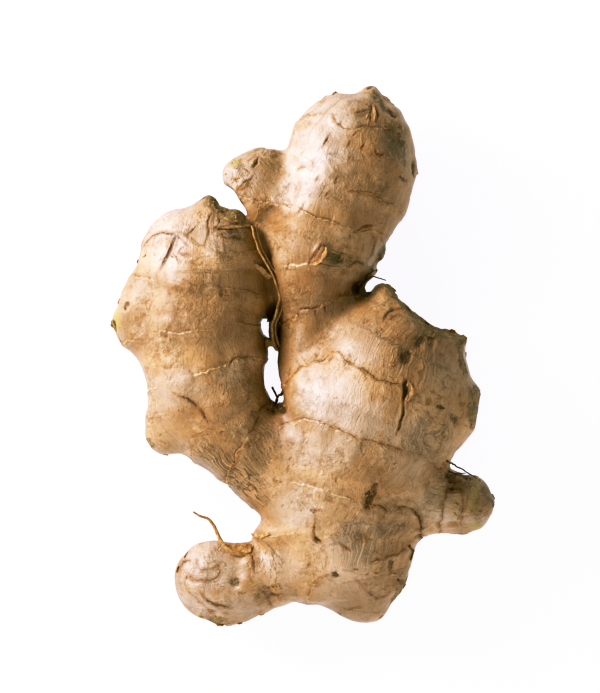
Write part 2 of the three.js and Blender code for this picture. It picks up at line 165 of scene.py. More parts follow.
def noise(points, size, seed=0):
    """Smooth noise from -1 to 1, with one swelling for about every `size` millimetres."""
    x, y, z = (points / size).T
    turn = 0.6 + 1.7 * seed
    across = x * math.cos(turn) - y * math.sin(turn)
    up = x * math.sin(turn) + y * math.cos(turn)
    scaled = np.column_stack([across, 0.8 * up - 0.6 * z, 0.6 * up + 0.8 * z]) + 57.3 * seed
    cell = np.floor(scaled).astype(np.int64)
    inside = scaled - cell
    inside = inside * inside * (3 - 2 * inside)
    total = np.zeros(len(points))
    for corner in np.ndindex(2, 2, 2):
        mixed = (cell + corner) @ np.array([73856093, 19349663, 83492791])
        mixed = ((mixed ^ (mixed >> 13)) * 1274126177) & 0x7FFFFFFF
        value = ((mixed ^ (mixed >> 16)) & 0xFFFF) / 32767.5 - 1
        weight = np.where(corner, inside, 1 - inside).prod(axis=1)
        total += weight * value
    return total


def layered_noise(points, size, seed=0, layers=3):
    total = sum(noise(points, size / 2**k, seed + k) / 2**k for k in range(layers))
    return total / (2 - 2 ** (1 - layers))


def line_distance(points, line):
    """Distance in plan from each point to a line, the side it lies on, and how far along it is."""
    plan = points[:, :2]
    line = np.array(line, float)
    best = np.full(len(plan), FAR)
    side = np.ones(len(plan))
    share = np.zeros(len(plan))
    for i, (start, end) in enumerate(zip(line[:-1], line[1:])):
        along = end - start
        offset = plan - start
        t = np.clip(offset @ along / (along @ along), 0, 1)
        gap = np.hypot(*(offset - t[:, None] * along).T)
        nearer = gap < best
        best[nearer] = gap[nearer]
        side[nearer] = np.sign(along[0] * offset[:, 1] - along[1] * offset[:, 0])[nearer]
        share[nearer] = ((i + t) / (len(line) - 1))[nearer]
    return best, side, share


def run_modifier(obj, kind, **settings):
    modifier = obj.modifiers.new(kind.lower(), kind)
    for key, value in settings.items():
        setattr(modifier, key, value)
    bpy.context.view_layer.objects.active = obj
    bpy.ops.object.modifier_apply(modifier=modifier.name)


def select_only(obj):
    for other in bpy.context.selected_objects:
        other.select_set(False)
    obj.select_set(True)
    bpy.context.view_layer.objects.active = obj


def read(items, name, width=1, kind=np.int32):
    flat = np.empty(len(items) * width, kind)
    items.foreach_get(name, flat)
    return flat.reshape(-1, width) if width > 1 else flat


def mesh_points(obj):
    return read(obj.data.vertices, "co", 3, np.float32).astype(float) / MM


def mesh_normals(obj):
    return read(obj.data.vertices, "normal", 3, np.float32).astype(float)


def set_points(obj, points):
    obj.data.vertices.foreach_set("co", (points * MM).astype(np.float32).ravel())
    obj.data.update()


def mesh_edges(obj):
    return read(obj.data.edges, "vertices", 2)


def shade_smooth(obj):
    for polygon in obj.data.polygons:
        polygon.use_smooth = True


def spread(values, edges, rounds):
    """Averages a value with its neighbours, over and over, so that it fades out smoothly."""
    values = values.astype(float)
    count = np.bincount(edges.ravel(), minlength=len(values)).astype(float)
    for _ in range(rounds):
        total = np.bincount(edges[:, 0], values[edges[:, 1]], len(values))
        total += np.bincount(edges[:, 1], values[edges[:, 0]], len(values))
        values = 0.5 * values + 0.5 * total / np.maximum(count, 1)
    return values


# %% [markdown]
# ## The bare flesh
#
# The skin starts as a copy of the solid, because the solid holds the true size and shape. Its
# loose triangles are merged first. The solid's rootlet comes off, since a finer one is made
# later. Smoothing takes away the flat facets, a subdivision rounds what is left, and a voxel
# remesh then gives even, square faces all over, which are best for sculpting.

# %% Copy, clean and smooth the solid
ROOTLET_LINE = [
    (-12.5, -54, 17.5),
    (-15, -53.2, 20.4),
    (-18.8, -52.3, 21.4),
    (-21.4, -50.4, 21),
    (-23, -47.6, 20.4),
    (-24, -45, 20.4),
    (-25.2, -43.4, 20.8),
    (-27.4, -42.7, 21.4),
    (-29.6, -41.4, 22),
]
ROOTLET_LEAVES_SKIN = -16.3
ROOTLET_REACH = 1.6
VOXEL = 0.84 * MM

skin = bpy.data.objects.new("skin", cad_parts["rhizome"].data.copy())
bpy.context.collection.objects.link(skin)
select_only(skin)
bpy.ops.object.mode_set(mode="EDIT")
bpy.ops.mesh.select_all(action="SELECT")
bpy.ops.mesh.remove_doubles(threshold=0.002 * MM)
bpy.ops.mesh.select_all(action="DESELECT")
bpy.ops.object.mode_set(mode="OBJECT")

points = mesh_points(skin)
on_rootlet = np.zeros(len(points), bool)
for start, end in zip(ROOTLET_LINE[1:-1], ROOTLET_LINE[2:]):
    start, end = np.array(start), np.array(end)
    t = np.clip((points - start) @ (end - start) / ((end - start) @ (end - start)), 0, 1)
    gap = np.linalg.norm(points - start - t[:, None] * (end - start), axis=1)
    on_rootlet |= (gap < ROOTLET_REACH) & (points[:, 0] < ROOTLET_LEAVES_SKIN)
skin.data.vertices.foreach_set("select", on_rootlet)
bpy.ops.object.mode_set(mode="EDIT")
bpy.ops.mesh.select_mode(type="VERT")
bpy.ops.mesh.delete(type="VERT")
bpy.ops.mesh.select_non_manifold()
bpy.ops.mesh.fill()
bpy.ops.object.mode_set(mode="OBJECT")

solid_tree = BVHTree.FromPolygons(
    [v.co.copy() for v in skin.data.vertices], [list(p.vertices) for p in skin.data.polygons]
)
run_modifier(skin, "SMOOTH", factor=0.5, iterations=3)
coarse_points, coarse_normals = mesh_points(skin), mesh_normals(skin)
run_modifier(skin, "SUBSURF", levels=2, render_levels=2)
skin.data.remesh_voxel_size = VOXEL
bpy.ops.object.voxel_remesh()
run_modifier(skin, "SMOOTH", factor=0.5, iterations=6)
print("faces after the remesh:", len(skin.data.polygons))

# %% [markdown]
# Smoothing pulls a rounded form in a little. Each vertex looks for the solid's own surface, and
# the gaps, averaged over their neighbours, say how far to push the skin back out.

# %% Push the skin back out to the solid's size
points, normals, edges = mesh_points(skin), mesh_normals(skin), mesh_edges(skin)
gaps = np.zeros(len(points))
for i, (point, normal) in enumerate(zip(points, normals)):
    spot, _, _, _ = solid_tree.find_nearest(Vector(point * MM), 3 * MM)
    if spot is not None:
        gaps[i] = float(np.array(spot) / MM @ normal - point @ normal)
gaps = spread(np.clip(gaps, -1, 1), edges, 12)
set_points(skin, points + normals * gaps[:, None])
print("pushed out by, mm:", round(float(gaps.mean()), 3))

# %% [markdown]
# ## The gap between the fingers
#
# The left and the middle finger don't quite touch: two slits of table show between them, and a
# notch opens at the top. Their outlines are drawn in plan and pushed through the skin as cutters.
# A second remesh and a little smoothing then round the cut walls, as if the fingers had grown so.

# %% Cut the gap
GAPS = [
    [(-10.9, 11.6), (-9.7, 10.6), (-8.9, 8.2), (-8.3, 5.2), (-9.2, 5.0), (-10.6, 6.2),
     (-11.3, 8.4)],
    [(-7.9, 2.4), (-7.1, -1.2), (-6.5, -4.8), (-5.7, -8.2), (-4.7, -11.4), (-4.7, -14.2),
     (-5.6, -15.4), (-7.2, -13.2), (-9, -11), (-10.2, -8.2), (-10.6, -3), (-9, 0.4)],
    [(-24.2, 43.4), (-21.6, 40.6), (-18, 38.4), (-15.2, 37.2), (-14.3, 37.4), (-15.2, 40.2),
     (-17.2, 43.2), (-18.4, 45.2), (-20.2, 46.6), (-24, 46.6), (-25, 44.8)],
]
CUTTER_DEPTH = 70 * MM
CUTTER_MIDDLE = (0, 0, 17 * MM)
for outline in GAPS:
    bpy.ops.mesh.primitive_cylinder_add(
        vertices=len(outline), depth=CUTTER_DEPTH, location=CUTTER_MIDDLE
    )
    cutter = bpy.context.active_object
    bpy.ops.object.transform_apply(location=True)
    for vertex in cutter.data.vertices:
        turn = math.atan2(vertex.co.x, vertex.co.y) / (2 * math.pi)
        spot = outline[round(turn * len(outline)) % len(outline)]
        vertex.co.x, vertex.co.y = spot[0] * MM, spot[1] * MM
    select_only(cutter)
    bpy.ops.object.mode_set(mode="EDIT")
    bpy.ops.mesh.select_all(action="SELECT")
    bpy.ops.mesh.normals_make_consistent(inside=False)
    bpy.ops.object.mode_set(mode="OBJECT")
    run_modifier(skin, "BOOLEAN", operation="DIFFERENCE", object=cutter, solver="EXACT")
    bpy.data.objects.remove(cutter)
select_only(skin)
skin.data.remesh_voxel_size = VOXEL
bpy.ops.object.voxel_remesh()
run_modifier(skin, "SMOOTH", factor=0.5, iterations=3)
print("faces with the gap cut:", len(skin.data.polygons))

# %% [markdown]
# The left finger leaves the body in a broad, shallow valley. Two round forms leave a sharp crease
# where they meet, so the vertices near that crease are averaged until it is gone.

# %% Soften the valley
VALLEY = [(-5.4, -21), (-5, -24), (-4.4, -29), (-5.6, -36)]
VALLEY_ROUNDS = 380
points, edges = mesh_points(skin), mesh_edges(skin)
softness = step(11, 3, line_distance(points, VALLEY)[0]) * step(2, 6, points[:, 2])
softened = np.column_stack([spread(points[:, k], edges, VALLEY_ROUNDS) for k in range(3)])
set_points(skin, points + (softened - points) * softness[:, None])
print("vertices softened:", int((softness > 0).sum()))

# %% [markdown]
# ## Where everything lies
#
# Fibres and wrinkles run along the fingers, so every vertex has to know which finger it is on,
# how far along, and how far round. Each finger is a line of points with a radius. Where two
# fingers meet the directions clash, so a value called `pure` fades the fibres out there.

# %% Fingers
FINGERS = {
    "left": [(5, -38, 18, 12), (-7, -31, 18, 12), (-16, -23, 18, 13), (-23, -13, 18, 15),
             (-26.2, -3, 17, 17), (-27.2, 8, 17, 18), (-26.8, 19, 17, 18), (-27, 28, 17, 17),
             (-27, 38, 17, 8)],
    "middle": [(1, -4, 18, 9), (2, 6, 18, 9), (3, 15, 18, 10.6), (3.4, 23, 18, 13), (5, 31, 17.5, 16),
               (8.2, 40, 17.5, 17), (12, 49, 17.5, 18), (14, 57, 18, 17), (17, 67, 18, 8)],
    "middle_knob": [(2, 30, 18, 8), (-4, 37, 19, 8), (-9.4, 43.3, 20, 9), (-12.6, 48.4, 20.5, 8.4)],
    "body": [(13, -62, 13, 10), (13, -56, 14.5, 14), (11, -46, 16.5, 18), (12, -35, 17.7, 20),
             (15, -23, 19.5, 22), (19.5, -11, 19.5, 23), (25, 0, 19, 18), (29, 8, 18.5, 15)],
    "foot": [(6, -56, 15, 11), (-4, -57.5, 14, 9), (-12, -59.2, 13, 10), (-20, -61, 12.2, 11),
             (-27, -60, 12.2, 9)],
    "right_knob": [(22, -38, 17, 11), (35, -39.2, 15.5, 9), (45, -39, 15, 8.4)],
}
# The fingers beyond the gap: a scar on one side of it must not mark the other.
LEFT_SIDE = {"left"}
ROUND_RADIUS = 15
print("fingers:", len(FINGERS))


def finger_places(points):
    """For every point: its finger, the way along and round that finger, and how clear that is."""
    count = len(points)
    nearest, second = np.full(count, FAR), np.full(count, FAR)
    finger, along, around = np.zeros(count, int), np.zeros(count), np.zeros(count)
    left_gap, other_gap = np.full(count, FAR), np.full(count, FAR)
    for number, (name, stations) in enumerate(FINGERS.items()):
        stations = np.array(stations, float)
        own, own_along, own_around = np.full(count, FAR), np.zeros(count), np.zeros(count)
        travelled = 0.0
        for i, (start, end) in enumerate(zip(stations[:-1], stations[1:])):
            axis = end[:3] - start[:3]
            length = np.linalg.norm(axis)
            offset = points - start[:3]
            t = offset @ axis / length**2
            held = np.clip(t, 0, 1)
            out = offset - held[:, None] * axis
            distance = np.linalg.norm(out, axis=1)
            radius = start[3] + held * (end[3] - start[3])
            last = i == len(stations) - 2
            free = np.clip(t, 0 if i else None, None if last else 1)
            level = np.hypot(axis[0], axis[1])
            left_of = -(axis[1] * out[:, 0] - axis[0] * out[:, 1]) / level
            turn = np.arctan2(left_of, out[:, 2])
            closer = distance - radius < own
            own[closer] = (distance - radius)[closer]
            own_along[closer] = (travelled + free * length)[closer]
            own_around[closer] = (turn * ROUND_RADIUS)[closer]
            travelled += length
        if name in LEFT_SIDE:
            left_gap = np.minimum(left_gap, own)
        else:
            other_gap = np.minimum(other_gap, own)
        closer = own < nearest
        second = np.where(closer, nearest, np.minimum(second, own))
        nearest = np.where(closer, own, nearest)
        finger[closer] = number
        along[closer], around[closer] = own_along[closer], own_around[closer]
    pure = step(0.3, 4.0, second - nearest)
    apart = step(0.2, 2.4, np.abs(left_gap - other_gap))
    return finger, along, around, pure, apart


# %% [markdown]
# ## Leaf scars
#
# A scale leaf wrapped the finger at every ring. What is left is a thin, slightly scalloped rim,
# paler than the skin, with a faint step from one side to the other. Each ring is drawn in plan as
# a line across its finger, from left to right when the finger points away, and it runs on round
# the underside. The three numbers before it are how high the rim stands, how pale it is, and
# how brown its foot is. The pale thread is partly painted highlight, and the brownness also sets
# a thin painted shadow line beside the rim.

# %% Leaf scars
RINGS = {
    "left": [
        (0.2, 0.4, 0.2, [(-46, 30), (-38, 33), (-33, 33), (-29, 31), (-25.5, 28.5), (-21.2, 27.4),
          (-17, 27.4), (-11, 29)]),
        (0.25, 0.6, 0.5, [(-48, 22), (-45.3, 21.6), (-36.3, 20.3), (-30.7, 19.4), (-24.7, 18.6),
          (-19.5, 17.9), (-13.9, 17.3), (-9, 15.6)]),
        (0.35, 1.0, 0.4, [(-53, 2), (-48, 3.4), (-44.3, 5.6), (-41.9, 7.2), (-40.2, 6.3),
          (-37.6, 6.7), (-33.7, 6.3), (-29.8, 6.5), (-25.5, 7.2), (-22.1, 8), (-17.8, 8.9),
          (-9, 8.8)]),
        (0.35, 1.0, 0.2, [(-44, -10.5), (-41.3, -9), (-35.4, -6.2), (-29.2, -4.8), (-24.7, -3.2),
          (-21.5, -2.7), (-18.8, -1), (-14.6, 0.3), (-9, -0.8)]),
        (0.12, 0.5, 0.3, [(-47, -16), (-38, -15.4), (-31, -14.4), (-25, -13.8), (-18.8, -11.7),
          (-14.6, -9.6), (-8, -9)]),
        (0.45, 0.4, 1.0, [(-21, -38), (-19.9, -34), (-20.1, -30.5), (-17.7, -27.7), (-17.4, -25.3),
          (-14.3, -20.8), (-12.5, -18), (-10.4, -13.1), (-8, -12)]),
        (0.12, 0.2, 0.7, [(-31, -31), (-29.8, -28), (-29.9, -24.2), (-29.2, -21.5), (-24.3, -19),
          (-20.8, -20.1), (-18.4, -22)]),
    ],
    "middle": [
        (0.35, 0.3, 0.9, [(-8, 8), (-4, 9.4), (-1.8, 10), (-0.9, 12.3), (2.2, 12.5), (4.9, 13.2),
          (7.6, 14.5), (11.6, 15.6), (17, 17)]),
        (0.35, 0.9, 0.2, [(-13, 26), (-8.3, 25.2), (-5, 24.7), (-1, 24.8), (2.2, 24.6), (5, 24.3),
          (10, 23.6), (12.9, 24.1), (14.7, 25.3), (17.4, 23.9), (23, 23)]),
        (0.35, 1.0, 0.5, [(-11, 41.6), (-8.5, 41.1), (-5, 40.2), (-2, 39), (0.9, 37.8), (4, 36.8),
          (7.1, 36), (10.3, 34.4), (14.3, 33.1), (18, 33.3), (26, 31)]),
        (0.3, 0.3, 0.9, [(13, 43.9), (14.7, 43.6), (17, 43.4), (19.2, 42.7), (21, 40.9),
          (23.7, 40.7), (25, 38.7), (28, 36)]),
        (0.1, 0.2, 0.3, [(-8, 54.5), (0, 53), (3, 50.8), (8, 49.8), (14, 51), (19, 53.8),
          (23, 52.3), (27, 51), (32, 50)]),
        (0.3, 0.5, 0.6, [(-6, 61.5), (-3, 63.4), (0.4, 64.6), (4, 64.9), (7.6, 64.9), (8, 63.3),
          (10.7, 60.6), (13.4, 59.7), (17, 61), (21, 60.6)]),
    ],
    "middle_knob": [
        (0.3, 0.3, 0.8, [(-22, 44), (-18, 43.4), (-15.2, 42.7), (-11.3, 41.4), (-8.5, 40.8)]),
        (0.25, 0.4, 0.4, [(-22.5, 50.4), (-20.4, 50.4), (-17.3, 50.4), (-13, 52.2), (-10.5, 55),
          (-7.5, 58)]),
    ],
    "body": [
        (0.5, 0.5, 1.0, [(-9, -9), (-5, -7.6), (-3.5, -5.4), (-0.9, -3.2), (2.3, -1.6), (5.9, -0.7),
          (7.9, 1.3), (9.2, 1.4), (10.8, -1), (13.9, -2.3), (16.2, -3.7), (18.4, -5.2),
          (19.7, -6.1), (23.3, -6.8), (26, -7)]),
        (0.35, 0.6, 0.7, [(-8, -19), (-4.4, -17.1), (0, -16.6), (4.5, -17.5), (9.9, -19.1),
          (15.3, -21.6), (18, -22), (21, -23), (25.1, -24.2), (27.8, -25.4), (31.4, -26),
          (33.2, -27.8), (37, -31)]),
        (0.4, 1.0, 0.2, [(-14.5, -42.5), (-13.2, -41.6), (-11.1, -38.8), (-9.4, -36), (-7.6, -34.7),
          (-6.3, -33.3), (-3.5, -32.7), (0.7, -34), (3.9, -34.5), (6.9, -35.8), (8.9, -36.3),
          (12.9, -37.8)]),
        (0.45, 0.4, 1.0, [(18, -39), (20.3, -38.9), (22.4, -40.3), (23.7, -41.2), (26.6, -40),
          (29.4, -40.9), (31.1, -42.3), (32, -46.9), (31.6, -51)]),
        (0.12, 0.7, 0.1, [(-10, -48), (-6.9, -47.1), (-3.5, -46.9), (0.5, -46.6), (2.2, -45.1),
          (3.3, -42.3), (3.9, -40)]),
        (0.1, 0.6, 0.1, [(5.6, -47.4), (10.1, -46), (12.4, -44), (13.6, -42.6), (14.7, -40.4)]),
        (0.35, 0.3, 0.7, [(1, -68), (1.3, -64.5), (2.7, -61.1), (6.1, -58.2), (8.4, -57.4),
          (10.7, -56.8), (14.7, -56.5), (17.5, -55.4), (21.5, -53.7), (27.2, -52)]),
        (0.15, 0.2, 0.4, [(10, -69), (15, -67.6), (19, -66.2), (22, -64.4), (26, -60.8)]),
    ],
    "foot": [
        (0.15, 0.2, 0.3, [(-4.5, -68), (-6.5, -62), (-7.2, -57), (-7, -52), (-6, -47.5)]),
        (0.3, 0.3, 0.6, [(-10.5, -71), (-12.5, -63), (-13.6, -58), (-14, -53), (-13.5, -46.5)]),
        (0.3, 0.4, 0.5, [(-20, -74), (-24.6, -68.3), (-30.4, -63), (-31.6, -58), (-32, -54),
          (-29, -48)]),
    ],
    "right_knob": [
        (0.3, 0.3, 0.8, [(37.6, -28.5), (38.4, -34), (37.4, -38), (36.6, -43), (37, -49)]),
        (0.25, 0.3, 0.6, [(43.4, -30), (42.8, -35), (44, -38), (42.6, -42), (41.6, -49)]),
    ],
}
SCARS = [(finger, *ring) for finger, rings in RINGS.items() for ring in rings]


def scar_places(points, finger):
    """Distance to the nearest scar, its side (1 towards the tip), height, paleness, brownness."""
    names = list(FINGERS)
    on_left = np.array([name in LEFT_SIDE for name in names])[finger]
    best = np.full(len(points), 99.0)
    tip_side, height, pale, brown = (0 * best for _ in range(4))
    wave = 0.5 * noise(points, 4.0, 11) + 0.4 * noise(points, 1.7, 12)
    for owner, raised, paleness, brownness, line in SCARS:
        gap, side, _ = line_distance(points, line)
        signed = gap * side + wave
        gap = np.where(on_left == (owner in LEFT_SIDE), np.abs(signed), 99.0)
        nearer = gap < best
        best[nearer], tip_side[nearer] = gap[nearer], np.sign(signed)[nearer]
        height[nearer], pale[nearer], brown[nearer] = raised, paleness, brownness
    patchy = step(-0.45, 0.4, noise(points, 7.0, 13))
    return best, tip_side, height * (0.2 + 0.8 * patchy), pale * (0.15 + 0.85 * patchy), brown


# %% [markdown]
# ## Cracks and gouges
#
# Dry skin splits along the fingers, and digging leaves short gouges. Each is a line in plan with
# half its width and its depth, and it tapers to both ends. The lips beside it stand up a little.

# %% Cracks
CRACKS = [
    # Creases between the smooth plates of the foot.
    (0.1, 0.16, [(-28.6, -54.6), (-28.2, -56), (-27.4, -57), (-25.4, -57), (-23.9, -56.6),
                 (-22.4, -56)]),
    (0.1, 0.16, [(-31, -58.4), (-29.6, -60), (-27, -59.7), (-24.8, -59.8), (-22.8, -58.8),
                 (-22, -57.4)]),
    (0.16, 0.5, [(-13.9, -52.6), (-13.2, -54.4), (-13, -56), (-13.1, -58)]),
    (0.16, 0.5, [(-11.4, -62), (-9.6, -63.9), (-7.4, -63.8), (-5.8, -63.2)]),
    (0.12, 0.4, [(-10.4, -61), (-8.8, -62), (-7.6, -61), (-6, -60.8)]),
    # Left finger.
    (0.3, 0.7, [(-33.2, 33.2), (-34.2, 31.4), (-35.2, 29), (-36.6, 26.4), (-38.2, 23.4)]),
    (0.2, 0.3, [(-42.8, 29.8), (-40.6, 32.6), (-37.6, 33.6), (-33.3, 32.6), (-30.7, 29.8)]),
    (0.28, 0.9, [(-34.6, -9.4), (-32.6, -10.3), (-30.6, -11), (-28.8, -12.2), (-27.8, -13.1)]),
    (0.2, 0.6, [(-27.8, -13.1), (-26.6, -14.2), (-26, -15.6), (-25, -17)]),
    (0.22, 0.7, [(-19.1, -1.8), (-18.2, -0.3), (-16.9, 0.4), (-15, -0.2)]),
    (0.14, 0.4, [(-16.4, 0.2), (-14.4, 0.4), (-12.6, -0.8)]),
    (0.3, 0.9, [(-23.2, 33.9), (-21, 34.3), (-18.9, 34.1)]),
    (0.16, 0.3, [(-28.5, 34.9), (-29.4, 33.6), (-31, 32.3)]),
    (0.12, 0.3, [(-35, 28.4), (-33.6, 26.8), (-32.8, 25.2)]),
    (0.12, 0.3, [(-33, 28), (-31.6, 27.2), (-30.4, 27.4)]),
    (0.14, 0.4, [(-24, 38.6), (-25.2, 36), (-24.8, 33), (-26, 30)]),
    (0.14, 0.5, [(-22.4, 32.6), (-20.4, 31.4), (-18.2, 31.8), (-16, 31.2)]),
    # Middle finger.
    (0.2, 0.6, [(5.2, 55.8), (5.8, 57), (6.6, 58.2), (7.1, 59.3)]),
    (0.16, 0.5, [(13, 58.4), (13.6, 59), (14.3, 59.7)]),
    (0.16, 0.4, [(12, 56), (12.6, 57.2)]),
    (0.12, 0.3, [(11.9, 51.8), (12.8, 53)]),
    (0.2, 0.8, [(13.4, 64.5), (15.4, 65), (17.8, 65.9)]),
    (0.16, 0.7, [(18.1, 62.4), (17.9, 64.6), (18.5, 67.6)]),
    (0.16, 0.7, [(19.7, 62.4), (19.9, 64.6), (19.1, 67.4)]),
    (0.16, 0.6, [(19.2, 54.9), (19.8, 53.7), (20.8, 53.4), (21.6, 53.8)]),
    (0.12, 0.3, [(3.4, 46.6), (4.2, 48)]),
    (0.12, 0.3, [(-1.4, 49.8), (0, 50.6)]),
    (0.12, 0.3, [(8.6, 46.2), (9.4, 47.6)]),
    (0.12, 0.3, [(15.4, 55.4), (16.4, 56.6)]),
    (0.12, 0.3, [(6, 42.4), (6.6, 43.8)]),
    (0.22, 0.5, [(-13.4, 50.4), (-12.4, 52), (-11.8, 54)]),
    (0.14, 0.4, [(-17.6, 44.4), (-15.5, 46.6), (-13.6, 47.6), (-12.8, 49.2)]),
    (0.16, 0.5, [(1.6, 24.8), (3.4, 27.4), (5, 29.8), (6.6, 29.6)]),
    (0.16, 0.5, [(12.6, 24.2), (14.6, 25.7), (17.4, 24.1), (19, 23.2)]),
    (0.18, 0.7, [(-1.8, 9.6), (-1.4, 11.4), (-0.6, 12.8), (2.2, 13), (5, 13.6)]),
    (0.14, 0.5, [(3.4, 12.8), (3.6, 10.8)]),
    (0.14, 0.5, [(6, 14), (6.2, 12)]),
    (0.16, 0.5, [(14, 33), (15.4, 34.4), (17.4, 35.2), (18.4, 34.4)]),
    (0.14, 0.4, [(18.3, 33.3), (19.4, 31), (18.8, 28), (17.6, 26)]),
    # Body.
    (0.55, 1.9, [(27.3, -5.4), (26.7, -7.2), (26.9, -9), (26.2, -11.4)]),
    (0.22, 1.3, [(26.6, -9.6), (26.3, -12), (26.5, -14.2), (25.6, -16.6), (25.5, -18), (24.6, -20)]),
    (0.16, 0.6, [(28.4, -5.6), (27.6, -8), (28, -10.4), (27.2, -13)]),
    (0.18, 0.6, [(21.1, 9.3), (22.4, 11.2), (23.8, 12.5), (26.5, 13.1)]),
    (0.14, 0.5, [(23.2, 9.8), (24.2, 10.8), (25.4, 11)]),
    (0.12, 0.4, [(18, -11), (18.3, -9.4)]),
    (0.12, 0.3, [(15.2, -24), (15.8, -21.6)]),
    (0.14, 0.4, [(20.4, -22.2), (21.6, -22.8)]),
    # Lower end.
    (0.2, 0.7, [(2.4, -39.6), (3.2, -40.6), (4.6, -40.2)]),
    (0.2, 0.6, [(3.4, -41), (3.3, -43.4), (2.9, -46), (3.4, -48)]),
    (0.3, 0.9, [(2.6, -46.8), (3.6, -48.4), (4.8, -48.8)]),
    (0.12, 0.4, [(9.6, -48.6), (11.2, -50), (12.6, -50.8)]),
    (0.26, 0.9, [(29.6, -41), (31.2, -42.4), (31.8, -45), (31.6, -47.6)]),
    (0.3, 1.0, [(31.4, -47.4), (32.4, -48.6), (33.6, -49)]),
    (0.22, 0.6, [(-27.4, -63.3), (-25.6, -65.4), (-24, -66.2), (-21.6, -66.6), (-19.4, -67.2)]),
    (0.16, 0.5, [(-33.4, -56.8), (-32.4, -55.2), (-30.8, -54.8)]),
    (0.14, 0.5, [(-9.2, -62), (-7.4, -61.4), (-5.6, -61.8)]),
    (0.14, 0.5, [(-9.2, -63), (-7.2, -63.8), (-5.8, -65)]),
    (0.14, 0.5, [(-9.8, -63.4), (-9, -65.4), (-8.4, -66.8)]),
    (0.14, 0.4, [(14, -59), (17, -62), (19.8, -64.6), (23, -63.6)]),
    # Right knob.
    (0.2, 0.7, [(39.4, -33), (40.6, -33.6), (42, -33.2)]),
    (0.18, 0.7, [(39, -35.6), (40.2, -36.2), (41.4, -35.8)]),
    (0.16, 0.5, [(41.6, -34), (42.6, -37), (43, -40), (42, -43)]),
]
print("scars and cracks:", len(SCARS), len(CRACKS))


def crack_places(points):
    """Distance to the nearest crack's edge, below zero inside it, and the depth of that crack."""
    best, depth = np.full(len(points), 99.0), np.zeros(len(points))
    wave = 0.3 * noise(points, 1.1, 21) + 0.4 * noise(points, 3.0, 22)
    for half_width, deep, line in CRACKS:
        gap, _, share = line_distance(points, line)
        taper = np.sqrt(np.clip(4 * share * (1 - share), 0.02, 1))
        edge = np.abs(gap + 0.6 * wave) - half_width * taper * (1 + 0.7 * wave)
        nearer = edge < best
        best[nearer], depth[nearer] = edge[nearer], (deep * taper)[nearer]
    return best, depth
